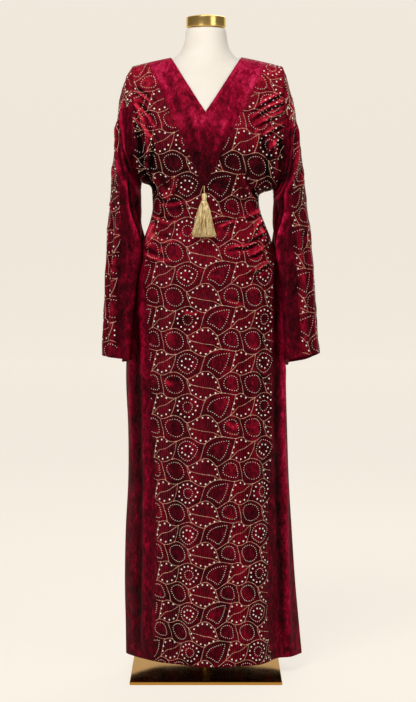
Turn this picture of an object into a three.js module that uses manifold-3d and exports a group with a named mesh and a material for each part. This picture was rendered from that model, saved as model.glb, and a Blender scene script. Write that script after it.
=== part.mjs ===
// A floor-length velvet jalabiya, worn by a limbless dress form on a square base plate.
// Millimetres, +Z up. The origin is the centre of the base plate's underside and the front faces -Y.
// Left and right are those of the viewer who faces the front, so left is -X.
//
// The cloth is a wall set inwards from its outer surface. The body's surface runs through rows,
// from the shoulder line down to the hem. A row crosses the front or the back from side to side,
// and a place on it is `across`: -1 at the left edge, 0 in the middle and 1 at the right edge.
// A sleeve's surface runs through rings, from the armhole seam down to the cuff.

import * as THREE from "three";
import { mergeVertices } from "three/addons/utils/BufferGeometryUtils.js";
import Module from "manifold-3d";

// ---- Driving dimensions ----

const WALL = 2; // thickness of the velvet
const SEAM = 0.3; // gap between two pieces that are sewn together
const NECK_HALF_WIDTH = 85; // middle to the side of the neck, on the shoulder line
const NECK_TIP = { x: -1, row: 6 }; // point of the V neck
const BACK_NECK_ROW = 3; // lowest place of the back neckline
const YOKE = { left: -136, right: 144, top: 1444, tipX: -4, tipRow: 12 }; // plain V on the front
const UNDERARM_ROW = 11; // where a sleeve leaves the body
const LEFT_GORE_ROW = 15; // where the plain side panels start
const RIGHT_GORE_ROW = 16;

const PLATE = { side: 351, thickness: 7, edge: 0.8 };
const POLE = { radius: 13, top: 820 };
const CAP = { radius: 47.2, bottom: 1529.6, band: 24.4, dome: 6.2, lip: 1.2 };
const TASSEL = { x: -4, y: -102.6, top: 1149, lean: 10.1, cord: 18, head: 17, skirt: 86 };

// Tassel shapes, as [radius, distance down]: the bound head, and the skirt of threads with its half depth.
const TASSEL_HEAD = [[2.4, 0], [4, 1], [5, 3], [5.4, 7], [4.6, 11], [4.6, 13], [6, TASSEL.head]];
const TASSEL_SKIRT = [[7, 0], [12, 14], [19, 36], [26, 64], [31, TASSEL.skirt]];
const TASSEL_DEPTH = 15;
const CORD_RADIUS = 1.2;

// How finely the cloth is divided: columns from the armhole to the yoke, of one half of the yoke, of
// one half of the front and of the back, and of a side panel.
const COLUMNS = { bodice: 6, yoke: 4, front: 6, back: 9, side: 5 };
const TIP_CLEARANCE = 0.06; // rows between the yoke's point and the notch that it fits
const GORE_START = 0.1; // rows between a side panel's point and the row where its seams meet
const SLOPE_STEP = 1e-3; // how far apart two places are, across or in rows, to read a slope

// Catmull-Rom curve through a table's rows, at a row number that may lie between two rows.
function table(columns, lines) {
  const rows = lines.map((line) => Object.fromEntries(columns.map((name, i) => [name, line[i]])));
  const last = rows.length - 1;
  const pick = (i) => rows[Math.min(Math.max(i, 0), last)];
  return (row) => {
    const i = Math.min(Math.floor(row), last - 1);
    const t = row - i;
    const blend = (name) => {
      const [a, b, c, d] = [pick(i - 1), pick(i), pick(i + 1), pick(i + 2)].map((r) => r[name]);
      return b + 0.5 * t * (c - a + t * (2 * a - 5 * b + 4 * c - d + t * (3 * (b - c) + d - a)));
    };
    return Object.fromEntries(columns.map((name) => [name, blend(name)]));
  };
}

// The body, row by row. middle, lowLeft, lowRight: height at the middle and at each edge.
// left, right: place of each edge. edge: half the armhole's depth. front, back: depth at the middle.
// turn: 0.5 rounds the row like an ellipse, 1 draws it to an edge at each side.
// panelLeft, panelRight: seams of the printed front panel, where the plain side panels begin.
const BODY = table(
  ["middle", "lowLeft", "lowRight", "left", "right", "edge", "front", "back", "turn", "panelLeft", "panelRight"],
  [
    [1469, 1437, 1437, -175, 181, 0, 0, 0, 1, -175, 181], // 0 shoulder line
    [1465, 1433, 1433, -175, 183, 14, 24, 24, 1, -175, 183],
    [1457, 1426, 1426, -174, 184, 27, 42, 42, 1, -174, 184],
    [1439, 1409, 1409, -174, 185, 42, 60, 62, 1, -174, 185],
    [1408, 1381, 1381, -174, 185, 55, 76, 76, 1, -174, 185],
    [1370, 1349, 1349, -174, 186, 64, 90, 86, 1, -174, 186],
    [1324, 1309, 1308, -174, 186, 70, 104, 92, 0.95, -174, 186], // 6 point of the neck
    [1280, 1270, 1266, -174, 186, 72, 118, 96, 0.9, -174, 186], // 7 bust
    [1236, 1230, 1222, -173, 185, 67, 120, 96, 0.85, -173, 185],
    [1200, 1197, 1186, -169, 181, 52, 113, 93, 0.75, -169, 181],
    [1173, 1173, 1158, -161, 171, 28, 106, 90, 0.65, -161, 171],
    [1158, 1159, 1142, -152, 158, 3, 103, 88, 0.55, -152, 158], // 11 underarm
    [1149, 1150, 1133, -132, 131, 0, 101, 87, 0.5, -132, 131], // 12 point of the yoke
    [1122, 1122, 1117, -128, 126, 0, 98, 85, 0.5, -128, 126],
    [1092, 1092, 1090, -128, 130, 0, 98, 86, 0.5, -128, 130],
    [1060, 1060, 1060, -136, 141, 0, 102, 92, 0.5, -136, 141], // 15 left side panel starts
    [1030, 1030, 1030, -147, 153, 0, 108, 100, 0.5, -140, 153], // 16 right side panel starts
    [990, 990, 990, -160, 165, 0, 115, 109, 0.5, -143, 159],
    [945, 945, 945, -172, 175, 0, 121, 117, 0.5, -145, 161], // 18 hip
    [880, 880, 880, -182, 183, 0, 125, 122, 0.51, -142, 160],
    [790, 790, 790, -188, 189, 0, 127, 124, 0.52, -136, 159],
    [690, 690, 690, -191, 191, 0, 130, 126, 0.54, -131, 156],
    [570, 570, 570, -186, 194, 0, 133, 129, 0.58, -127, 155],
    [450, 450, 450, -186, 198, 0, 137, 133, 0.64, -121, 152],
    [330, 330, 330, -192, 205, 0, 141, 138, 0.7, -115, 147],
    [210, 210, 210, -194, 213, 0, 145, 143, 0.76, -116, 145],
    [110, 110, 110, -192, 222, 0, 148, 147, 0.82, -119, 146],
    [36, 36, 36, -191, 229, 0, 150, 150, 0.85, -126, 153], // 27 hem
  ],
);
const HEM_ROW = 27;

// The largest folds of the skirt, front and back. x: place at the hem. lean: how far to the left
// the fold starts at its top. width: from its middle to where it has faded.
// depth: how far it stands out at the hem, or sinks in. top: the height where it starts.
const FOLDS = [
  { face: -1, x: 166, lean: 10, width: 26, depth: -26, top: 520 },
  { face: -1, x: 126, lean: 6, width: 34, depth: 13, top: 600 },
  { face: -1, x: -60, lean: -8, width: 36, depth: -7, top: 480 },
  { face: -1, x: 8, lean: 4, width: 50, depth: 7, top: 420 },
  { face: 1, x: -120, lean: -10, width: 38, depth: 14, top: 700 },
  { face: 1, x: -48, lean: -4, width: 40, depth: -13, top: 620 },
  { face: 1, x: 30, lean: 4, width: 44, depth: 15, top: 720 },
  { face: 1, x: 112, lean: 10, width: 40, depth: -13, top: 600 },
];

// The sleeves, ring by ring below the armhole seam. A ring lies in the plane through its outer and
// inner points, along Y; outerX and innerX count outwards from the middle of the body.
// front, back: half depths. seam: degrees round the front, from the outer point, to the seam between
// the printed and the plain part. dip: how far the front rises, and the back falls, at the cuff.
// wrap: how far the hanging sleeve laps round the hip, at its front and its back.
const SLEEVE_COLUMNS = ["outerX", "outerZ", "innerX", "innerZ", "front", "back", "seam", "dip", "wrap"];
const SLEEVES = {
  left: table(SLEEVE_COLUMNS, [
    [190, 1415, 152.6, 1156, 71, 70, 68, 0, 0],
    [201, 1383, 153, 1153, 72, 72, 54, 0, 0],
    [210, 1340, 153.2, 1149, 73, 73, 44, 0, 0],
    [217, 1275, 153.4, 1144, 74, 74, 46, 0, 0],
    [222, 1210, 153.6, 1138, 74, 75, 56, 0, 0],
    [228, 1140, 153.6, 1128, 73, 75, 70, 0, 0],
    [232, 1085, 153.4, 1085, 72, 75, 77.5, 0, 6],
    [238, 1010, 157, 1010, 72, 76, 81, 0, 28],
    [241, 925, 181, 925, 74, 78, 84, 0, 34],
    [245, 840, 190, 840, 76, 80, 88, 0, 33],
    [248.6, 747, 196, 731, 78, 82, 92.5, 6, 30],
  ]),
  right: table(SLEEVE_COLUMNS, [
    [191, 1415, 158.6, 1139, 71, 70, 76, 0, 0],
    [201, 1381, 159, 1136, 72, 72, 68, 0, 0],
    [210, 1337, 159.2, 1132, 73, 73, 62, 0, 0],
    [218.5, 1280, 159.4, 1127, 74, 74, 64, 0, 0],
    [227, 1222, 159.6, 1121, 74, 75, 72, 0, 0],
    [236, 1155, 159.6, 1112, 73, 75, 84, 0, 0],
    [243.8, 1085, 159.4, 1075, 72, 75, 89, 0, 4],
    [252, 1010, 166, 1004, 72, 76, 87, 0, 24],
    [260, 920, 184, 920, 74, 78, 89.5, 0, 26],
    [265, 835, 191, 835, 76, 80, 89, 0, 28],
    [272, 752, 193, 724, 78, 82, 88, 10, 26],
  ]),
};
const CUFF_RING = 11; // counting the armhole seam as ring 0
const STRAIGHT_RING = 6; // from here down the rings are flat
const BACK_SEAM = -33; // degrees: the sleeve's other seam, behind its outer fold
const LAP = { from: 70, to: 165 }; // degrees from the outer fold, between which a sleeve laps round the hip

// The figure under the cloth, with the columns of the body. It touches the cloth at the shoulders.
const FIGURE = table(
  ["middle", "lowLeft", "lowRight", "left", "right", "edge", "front", "back", "turn"],
  [
    [1466.2, 1434.4, 1434.4, -167, 171, 0.4, 0.4, 0.4, 1],
    [1462, 1430.2, 1430.2, -168, 173, 12, 22, 22, 1],
    [1453.8, 1422.8, 1422.8, -168, 174, 24.5, 39.4, 39.4, 1],
    [1436, 1406, 1406, -168, 174, 39, 57, 58.6, 1],
    [1406, 1379, 1379, -165, 170, 51, 73, 72.8, 0.98],
    [1368, 1347, 1347, -160, 164, 58, 87, 82.6, 0.95],
    [1322, 1308, 1308, -154, 158, 56, 101, 88.4, 0.85],
    [1278, 1268, 1266, -149, 152, 42, 114.6, 92, 0.7],
    [1234, 1230, 1228, -142, 144, 18, 115, 91, 0.58],
    [1196, 1196, 1194, -131, 132, 2, 107, 88, 0.5],
    [1150, 1150, 1148, -119, 119, 0, 96, 82, 0.5],
    [1110, 1110, 1110, -114, 114, 0, 90, 77, 0.5],
    [1060, 1060, 1060, -122, 123, 0, 94, 84, 0.5],
    [1010, 1010, 1010, -140, 141, 0, 101, 94, 0.5],
    [950, 950, 950, -156, 157, 0, 109, 106, 0.5],
    [890, 890, 890, -160, 161, 0, 111, 109, 0.5],
    [842, 842, 842, -154, 155, 0, 104, 102, 0.5],
    [820, 820, 820, -144, 145, 0, 94, 92, 0.5],
  ],
);
const FIGURE_ROWS = 18;

// The neck of the form, ring by ring: an oval of half width x and half depth y.
const NECK_RINGS = [
  { z: 1400, x: 58, y: 54 },
  { z: 1438, x: 84, y: 57 },
  { z: 1452, x: 79, y: 56.5 },
  { z: 1460, x: 72, y: 55.5 },
  { z: 1467, x: 64.5, y: 54.5 },
  { z: 1476, x: 58, y: 53 },
  { z: 1490, x: 53, y: 51 },
  { z: 1508, x: 50, y: 49.5 },
  { z: CAP.bottom - SEAM, x: 48.4, y: 48.4 },
];

const COLOURS = {
  velvet: { color: 0x8e0f33, roughness: 0.55, metalness: 0 },
  print: { color: 0x6b0f22, roughness: 0.55, metalness: 0 },
  threads: { color: 0xd6ba76, roughness: 0.6, metalness: 0 },
  form: { color: 0xf3e9d8, roughness: 0.7, metalness: 0 },
  gold: { color: 0xc9a24e, roughness: 0.12, metalness: 1 },
};

// ---- Surfaces ----

const clamp = (value, low, high) => Math.min(Math.max(value, low), high);
const radians = (degrees) => (degrees * Math.PI) / 180;

// How far a fold moves the skirt at x and z: a smooth bump that fades out at its top.
function foldAt(fold, x, z) {
  const down = clamp((fold.top - z) / fold.top, 0, 1);
  const place = fold.x - fold.lean * (1 - down);
  const near = clamp(1 - Math.abs(x - place) / (fold.width * 1.6), 0, 1);
  return fold.depth * down * near * near * (3 - 2 * near);
}

// x at a place across a row.
function rowX(row, across) {
  const half = (row.right - row.left) / 2;
  return (row.right + row.left) / 2 + half * Math.sin((across * Math.PI) / 2);
}

// Height of a row at x: it drops towards its edges.
function rowZ(row, across) {
  const share = Math.abs(Math.sin((across * Math.PI) / 2)) ** 1.5;
  const low = across < 0 ? row.lowLeft : row.lowRight;
  return row.middle + (low - row.middle) * share;
}

// A point of a body row. face is -1 on the front and 1 on the back.
function bodyPoint(rows, face, across, rowNumber) {
  const row = rows(rowNumber);
  const x = rowX(row, across);
  const z = rowZ(row, across);
  const share = Math.max(0, 1 - Math.sin((across * Math.PI) / 2) ** 2) ** row.turn;
  const middle = face < 0 ? row.front : row.back;
  const fade = Math.min(1, 4 * share);
  const folds = FOLDS.filter((f) => f.face === face).reduce((sum, f) => sum + foldAt(f, x, z), 0);
  const depth = row.edge + (middle - row.edge) * share + folds * fade;
  return new THREE.Vector3(x, face * Math.max(depth, 0), z);
}

// Place across a row where the row meets x.
function acrossAt(row, x) {
  const half = (row.right - row.left) / 2;
  return (Math.asin(clamp((x - (row.right + row.left) / 2) / half, -1, 1)) * 2) / Math.PI;
}

// Place across a row where it meets a line on the front view, given as x for a height.
function acrossLine(rowNumber, xAtHeight) {
  const row = BODY(rowNumber);
  let across = 0;
  for (let step = 0; step < 6; step++) across = acrossAt(row, xAtHeight(rowZ(row, across)));
  return across;
}

// The outward normal of a surface given as point(a, b), where a x b turns outwards.
function normalOf(point, a, b, limits) {
  const [a0, a1] = [Math.max(a - SLOPE_STEP, limits.a[0]), Math.min(a + SLOPE_STEP, limits.a[1])];
  const [b0, b1] = [Math.max(b - SLOPE_STEP, limits.b[0]), Math.min(b + SLOPE_STEP, limits.b[1])];
  const alongA = point(a1, b).sub(point(a0, b));
  const alongB = point(a, b1).sub(point(a, b0));
  return alongA.cross(alongB).normalize();
}

// The loop of an armhole, by its angle: 0 at the shoulder, positive down the front, 180 underneath.
function armholePoint(side, angle) {
  const round = angle > 180 ? angle - 360 : angle;
  const row = (UNDERARM_ROW * Math.abs(round)) / 180;
  return bodyPoint(BODY, round > 0 ? -1 : 1, side, row);
}

// The direction in which the cloth of the body and of the sleeve meets along an armhole.
function armholeNormal(side, angle) {
  const step = 2; // degrees
  const along = armholePoint(side, angle + step).sub(armholePoint(side, angle - step));
  const normal = new THREE.Vector3(1, 0, 0).cross(along).normalize();
  const centre = armholePoint(side, 0).add(armholePoint(side, 180)).multiplyScalar(0.5);
  const outwards = armholePoint(side, angle).sub(centre);
  return normal.dot(outwards) < 0 ? normal.negate() : normal;
}

// Normal of the body, turned at a fold line so that front and back stay on their own sides.
function bodyNormal(face, across, rowNumber) {
  if (Math.abs(across) === 1 && rowNumber <= UNDERARM_ROW) {
    return armholeNormal(across, (-face * 180 * rowNumber) / UNDERARM_ROW);
  }
  const inside = 0.004; // the very edge has no steady slope, so the slope is read just inside it
  const a = clamp(across, -1 + inside, 1 - inside);
  const b = Math.max(rowNumber, inside);
  const point = (u, v) => bodyPoint(BODY, face, u, v);
  const normal = normalOf(point, a, b, { a: [-1, 1], b: [0, HEM_ROW] });
  normal.multiplyScalar(face < 0 ? -1 : 1);
  const atSide = Math.abs(across) === 1;
  if (rowNumber < inside || atSide) normal.y = 0;
  return normal.normalize();
}

// ---- Cloth pieces ----

// A sheet is a list of points with outward normals, and triangles between them.
class Sheet {
  constructor() {
    this.points = [];
    this.normals = [];
    this.triangles = [];
    this.known = new Map();
  }

  vertex({ point, normal }) {
    const key = point.toArray().map((v) => Math.round(v * 100)).join();
    if (!this.known.has(key)) {
      this.known.set(key, this.points.length);
      this.points.push(point);
      this.normals.push(normal);
    }
    return this.known.get(key);
  }

  triangle(a, b, c) {
    if (a !== b && b !== c && a !== c) this.triangles.push([a, b, c]);
  }

  // A patch of rows of vertices.
  patch(grid) {
    const ids = grid.map((row) => row.map((v) => this.vertex(v)));
    for (let i = 1; i < ids.length; i++) {
      for (let j = 1; j < ids[i].length; j++) {
        const [a, b, c, d] = [ids[i - 1][j - 1], ids[i - 1][j], ids[i][j], ids[i][j - 1]];
        this.triangle(a, d, c);
        this.triangle(a, c, b);
      }
    }
    return this;
  }
}

// Closes a sheet into a wall: its outer face, its inner face and the edges between them.
function wallOf(sheet) {
  const count = sheet.points.length;
  const inner = sheet.points.map((p, i) => p.clone().addScaledVector(sheet.normals[i], -WALL));
  const edges = new Map();
  const faces = [];
  for (const [a, b, c] of sheet.triangles) {
    faces.push([a, b, c], [a + count, c + count, b + count]);
    for (const [p, q] of [[a, b], [b, c], [c, a]]) {
      if (edges.has(`${q},${p}`)) edges.delete(`${q},${p}`);
      else edges.set(`${p},${q}`, [p, q]);
    }
  }
  const height = ({ x, z }) => z + 0.01 * x;
  for (const [p, q] of edges.values()) {
    // Two pieces split their edges along the same diagonal, so that a twisted seam keeps its gap.
    if (height(sheet.points[p]) > height(sheet.points[q])) {
      faces.push([p, p + count, q + count], [p, q + count, q]);
    } else {
      faces.push([p, p + count, q], [p + count, q + count, q]);
    }
  }
  return closedGeometry([...sheet.points, ...inner], faces);
}

// A closed geometry, with its faces turned to point outwards.
function closedGeometry(points, faces) {
  const volume = faces.reduce((sum, [a, b, c]) => {
    return sum + points[a].dot(points[b].clone().cross(points[c]));
  }, 0);
  const order = volume < 0 ? faces.map(([a, b, c]) => [a, c, b]) : faces;
  const geometry = new THREE.BufferGeometry();
  geometry.setAttribute("position", new THREE.Float32BufferAttribute(points.flatMap((p) => p.toArray()), 3));
  geometry.setIndex(order.flat());
  return geometry;
}

// A vertex of the body's cloth, moved along its row to leave half a seam where side asks for it.
function bodyVertex(face, across, rowNumber, side) {
  const point = (u) => bodyPoint(BODY, face, u, rowNumber);
  const [a, b] = [Math.max(across - SLOPE_STEP, -1), Math.min(across + SLOPE_STEP, 1)];
  const perUnit = Math.max(point(a).distanceTo(point(b)) / (b - a), 1);
  const atSide = Math.abs(across) === 1;
  const moved = atSide ? across : clamp(across + (side * SEAM) / 2 / perUnit, -1, 1);
  const vertex = { point: point(moved), normal: bodyNormal(face, moved, rowNumber) };
  if (rowNumber === 0 || (atSide && rowNumber > UNDERARM_ROW)) vertex.point.y = (face * SEAM) / 2;
  return vertex;
}

// A patch of the body from one seam line to another, each given as a place across for a row.
// Each stop is a seam line with the columns up to it, and which way it leaves its gap.
function bodyPatch(face, rowNumbers, stops) {
  return rowNumbers.map((rowNumber) => {
    const row = [];
    stops.forEach(({ line, side }, i) => {
      const here = line(rowNumber);
      if (i > 0) {
        const from = stops[i - 1].line(rowNumber);
        const columns = stops[i].columns;
        for (let j = 1; j < columns; j++) {
          row.push(bodyVertex(face, from + ((here - from) * j) / columns, rowNumber, 0));
        }
      }
      row.push(bodyVertex(face, here, rowNumber, side));
    });
    return row;
  });
}

const rowsFromTo = (first, last) => Array.from({ length: last - first + 1 }, (_, i) => first + i);

// Seam lines of the body, as places across for a row.
const leftEdge = () => -1;
const rightEdge = () => 1;
const yokeHeight = BODY(YOKE.tipRow).middle;
const yokeLine = (from) => (rowNumber) =>
  acrossLine(rowNumber, (z) => from + ((YOKE.tipX - from) * (YOKE.top - z)) / (YOKE.top - yokeHeight));
const yokeLeft = yokeLine(YOKE.left);
const yokeRight = yokeLine(YOKE.right);
const neckTop = rowZ(BODY(0), acrossAt(BODY(0), NECK_HALF_WIDTH));
const neckBottom = BODY(NECK_TIP.row).middle;
const neckLine = (side) => (rowNumber) =>
  acrossLine(rowNumber, (z) => {
    const share = clamp((z - neckBottom) / (neckTop - neckBottom), 0, 1);
    return NECK_TIP.x + (side * NECK_HALF_WIDTH - NECK_TIP.x) * share ** 0.96;
  });
const neckLeft = neckLine(-1);
const neckRight = neckLine(1);
const middleLine = (x) => (rowNumber) => acrossAt(BODY(rowNumber), x);
const panelLeft = (rowNumber) => acrossAt(BODY(rowNumber), BODY(rowNumber).panelLeft);
const panelRight = (rowNumber) => acrossAt(BODY(rowNumber), BODY(rowNumber).panelRight);
const backNeck = (side) => (rowNumber) => {
  const share = Math.sqrt(Math.max(0, 1 - (rowNumber / BACK_NECK_ROW) ** 2));
  return acrossAt(BODY(rowNumber), side * NECK_HALF_WIDTH * share);
};

function frontPanel() {
  const bodice = rowsFromTo(0, YOKE.tipRow);
  const skirt = rowsFromTo(YOKE.tipRow, HEM_ROW);
  const middle = middleLine(YOKE.tipX);
  const atTip = (rowNumber) => rowNumber === YOKE.tipRow;
  const toYoke = (line) => (rowNumber) => (atTip(rowNumber) ? middle(rowNumber) : line(rowNumber));
  const row = (rowNumber, stops) => bodyPatch(-1, [rowNumber], stops)[0];
  const yokeGap = (rowNumber) => (atTip(rowNumber) ? 0 : 1);
  const edgeGap = (rowNumber) => (rowNumber > UNDERARM_ROW ? 1 : 0);
  const left = bodice.map((r) =>
    row(r, [
      { line: leftEdge, side: edgeGap(r) },
      { line: toYoke(yokeLeft), side: -yokeGap(r), columns: COLUMNS.bodice },
    ]),
  );
  const right = bodice.map((r) =>
    row(r, [
      { line: toYoke(yokeRight), side: yokeGap(r) },
      { line: rightEdge, side: -edgeGap(r), columns: COLUMNS.bodice },
    ]),
  );
  const lower = bodyPatch(-1, skirt, [
    { line: panelLeft, side: 1 },
    { line: middle, side: 0, columns: COLUMNS.front },
    { line: panelRight, side: -1, columns: COLUMNS.front },
  ]);
  return wallOf(new Sheet().patch(left).patch(right).patch(lower));
}

function frontYoke() {
  const tip = YOKE.tipRow - TIP_CLEARANCE;
  const legs = rowsFromTo(0, NECK_TIP.row);
  const point = rowsFromTo(NECK_TIP.row, YOKE.tipRow - 1);
  const neckPoint = middleLine(NECK_TIP.x);
  const spine = (rowNumber) => {
    const share = (rowNumber - NECK_TIP.row) / (tip - NECK_TIP.row);
    return middleLine(NECK_TIP.x + (YOKE.tipX - NECK_TIP.x) * share)(rowNumber);
  };
  const toNeck = (line) => (rowNumber) => (rowNumber === NECK_TIP.row ? neckPoint : line)(rowNumber);
  const left = bodyPatch(-1, legs, [
    { line: yokeLeft, side: 1 },
    { line: toNeck(neckLeft), side: 0, columns: COLUMNS.yoke },
  ]);
  const right = bodyPatch(-1, legs, [
    { line: toNeck(neckRight), side: 0 },
    { line: yokeRight, side: -1, columns: COLUMNS.yoke },
  ]);
  const whole = bodyPatch(-1, point, [
    { line: yokeLeft, side: 1 },
    { line: spine, side: 0, columns: COLUMNS.yoke },
    { line: yokeRight, side: -1, columns: COLUMNS.yoke },
  ]);
  const end = bodyVertex(-1, spine(tip), tip, 0);
  return wallOf(new Sheet().patch(left).patch(right).patch([...whole, whole[0].map(() => end)]));
}

function sidePanel(side) {
  const start = side < 0 ? LEFT_GORE_ROW : RIGHT_GORE_ROW;
  const rows = rowsFromTo(start, HEM_ROW);
  const stops =
    side < 0
      ? [{ line: leftEdge, side: 1 }, { line: panelLeft, side: -1, columns: COLUMNS.side }]
      : [{ line: panelRight, side: 1 }, { line: rightEdge, side: -1, columns: COLUMNS.side }];
  const grid = bodyPatch(-1, rows, stops);
  const top = bodyVertex(-1, side, start + GORE_START, 0);
  grid[0] = grid[0].map(() => top);
  return wallOf(new Sheet().patch(grid));
}

function backPanel() {
  const legs = [0, 1, 2, 2.5, 2.8, BACK_NECK_ROW];
  const lower = rowsFromTo(BACK_NECK_ROW, HEM_ROW);
  const edgeGap = (r) => (r > UNDERARM_ROW ? 1 : 0);
  const sheet = new Sheet();
  const strip = (r, from, to, fromSide, toSide) =>
    bodyPatch(1, [r], [
      { line: from, side: fromSide },
      { line: to, side: toSide, columns: COLUMNS.back },
    ])[0];
  sheet.patch(legs.map((r) => strip(r, leftEdge, backNeck(-1), 0, 0)));
  sheet.patch(legs.map((r) => strip(r, backNeck(1), rightEdge, 0, 0)));
  sheet.patch(
    lower.map((r) =>
      bodyPatch(1, [r], [
        { line: leftEdge, side: edgeGap(r) },
        { line: middleLine(0), side: 0, columns: COLUMNS.back },
        { line: rightEdge, side: -edgeGap(r), columns: COLUMNS.back },
      ])[0],
    ),
  );
  return wallOf(sheet);
}

// A point of a sleeve. side is -1 on the left. angle is in degrees, from the outer fold:
// positive round the front, negative round the back, 180 at the inner fold.
function sleevePoint(side, angle, ring) {
  const rings = side < 0 ? SLEEVES.left : SLEEVES.right;
  const first = Math.max(ring, 1);
  const r = rings(first - 1);
  const turn = radians(angle);
  const along = (1 + Math.cos(turn)) / 2;
  const depth = Math.sin(turn) * (angle > 0 ? r.front : r.back);
  const [top, bottom] = [armholePoint(side, 0).x, armholePoint(side, 180).x];
  const bowed = Math.abs(armholePoint(side, angle).x - bottom - (top - bottom) * along);
  const bow = bowed * clamp(1 - (first / STRAIGHT_RING) ** 2, 0, 1); // the armhole's bow, at first
  const lapping = clamp((Math.abs(angle) - LAP.from) / (LAP.to - LAP.from), 0, 1);
  const lap = r.wrap * Math.sin(lapping * Math.PI) ** 2;
  const point = new THREE.Vector3(
    side * (r.innerX + (r.outerX - r.innerX) * along + bow - lap),
    -depth,
    r.innerZ + (r.outerZ - r.innerZ) * along + r.dip * Math.sin(turn),
  );
  if (ring >= 1) return point;
  const seam = armholePoint(side, angle);
  seam.x += side * SEAM;
  return seam.lerp(point, ring);
}

function sleeveNormal(side, angle, ring) {
  if (ring === 0) return armholeNormal(side, angle);
  const point = (u, v) => sleevePoint(side, u, v);
  const inside = 0.02; // keeps clear of the kinks at the outer and inner folds
  const a = Math.abs(angle) < inside ? inside : clamp(angle, -180 + inside, 180 - inside);
  const step = 0.01; // degrees, and rings
  const alongA = point(a + step, ring).sub(point(a - step, ring));
  const low = Math.max(ring - step, 0);
  const high = Math.min(ring + step, CUFF_RING);
  const normal = alongA.cross(point(a, high).sub(point(a, low))).normalize();
  const r = sleevePoint(side, 0, ring).add(sleevePoint(side, 180, ring)).multiplyScalar(0.5);
  const outwards = point(a, ring).sub(r);
  return normal.dot(outwards) < 0 ? normal.negate() : normal;
}

// One part of a sleeve, from one angle to another at each ring.
function sleevePart(side, stops) {
  const rings = rowsFromTo(0, CUFF_RING);
  const grid = rings.map((ring) => {
    const row = [];
    stops.forEach(({ angle, columns, gap }, i) => {
      const here = angle(ring);
      if (i > 0) {
        const from = stops[i - 1].angle(ring);
        for (let j = 1; j < columns; j++) row.push([from + ((here - from) * j) / columns, 0]);
      }
      row.push([here, gap]);
    });
    return row.map(([angle, gap]) => {
      const perDegree = sleevePoint(side, angle + 0.5, ring).distanceTo(sleevePoint(side, angle - 0.5, ring));
      const moved = angle + (gap * SEAM) / 2 / Math.max(perDegree, 0.2);
      const round = moved > 180 ? moved - 360 : moved;
      return { point: sleevePoint(side, round, ring), normal: sleeveNormal(side, round, ring) };
    });
  });
  return wallOf(new Sheet().patch(grid));
}

const PRINT_COLUMNS = 5; // columns of the printed part in front of the outer fold
const BACK_COLUMNS = 2; // and behind it
const STEP = 180 / UNDERARM_ROW; // degrees for a body row, at the armhole seam

const sleeveSeam = (side) => (ring) => {
  if (ring === 0) return PRINT_COLUMNS * STEP;
  return (side < 0 ? SLEEVES.left : SLEEVES.right)(ring - 1).seam;
};
const backSeam = (ring) => (ring === 0 ? -BACK_COLUMNS * STEP : BACK_SEAM);

const sleevePrint = (side) =>
  sleevePart(side, [
    { angle: backSeam, gap: 1 },
    { angle: () => 0, columns: BACK_COLUMNS, gap: 0 },
    { angle: sleeveSeam(side), columns: PRINT_COLUMNS, gap: -1 },
  ]);

const sleevePlain = (side) =>
  sleevePart(side, [
    { angle: sleeveSeam(side), gap: 1 },
    { angle: () => 180, columns: UNDERARM_ROW - PRINT_COLUMNS, gap: 0 },
    { angle: (ring) => 360 + backSeam(ring), columns: UNDERARM_ROW - BACK_COLUMNS, gap: -1 },
  ]);

// ---- Tassel ----

// A solid of revolution about the tassel's line, squashed front to back. The profile is closed at
// both ends and lies `start` below the tassel's top.
function tasselPart(profile, start, flatten) {
  const closed = [[0, profile[0][1]], ...profile, [0, profile.at(-1)[1]]];
  const upwards = closed.reverse().map(([radius, down]) => new THREE.Vector2(radius, -start - down));
  return new THREE.LatheGeometry(upwards, 16).rotateX(Math.PI / 2).scale(1, flatten, 1);
}

// The tassel hangs just clear of the front, at the depth of the cloth behind it.
function tasselParts() {
  const { cord, head } = TASSEL;
  const shorter = (profile) => profile.map(([radius, down], i) => [radius, i === profile.length - 1 ? down - SEAM : down]);
  return {
    tassel_cord: tasselPart(shorter([[CORD_RADIUS, 0], [CORD_RADIUS, cord]]), 0, 1),
    tassel_head: tasselPart(shorter(TASSEL_HEAD), cord, 0.9),
    tassel_skirt: tasselPart(TASSEL_SKIRT, cord + head, TASSEL_DEPTH / TASSEL_SKIRT.at(-1)[0]),
  };
}

// ---- Dress form ----

// A closed loft through rings of equal length, from the top to the bottom.
function loft(rings) {
  const size = rings[0].length;
  const points = rings.flat();
  const faces = [];
  const half = size / 2;
  for (let k = 1; k < rings.length; k++) {
    for (let i = 0; i < size; i++) {
      const next = (i + 1) % size;
      const [a, b, c, d] = [(k - 1) * size + i, (k - 1) * size + next, k * size + next, k * size + i];
      faces.push([a, b, c], [a, c, d]);
    }
  }
  const cap = (start, flip) => {
    for (let i = 0; i < half - 1; i++) {
      const [a, b, c, d] = [i, i + 1, size - 2 - i, size - 1 - i].map((n) => start + n);
      const quad = [[a, c, b], [a, d, c]];
      faces.push(...quad.map(([p, q, r]) => (flip ? [p, r, q] : [p, q, r])));
    }
  };
  cap(0, false);
  cap((rings.length - 1) * size, true);
  return closedGeometry(points, faces);
}

function solidOf(wasm, geometry) {
  const merged = mergeVertices(geometry, 1e-3);
  return new wasm.Manifold(
    new wasm.Mesh({
      numProp: 3,
      vertProperties: merged.attributes.position.array,
      triVerts: new Uint32Array(merged.index.array),
    }),
  );
}

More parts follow.
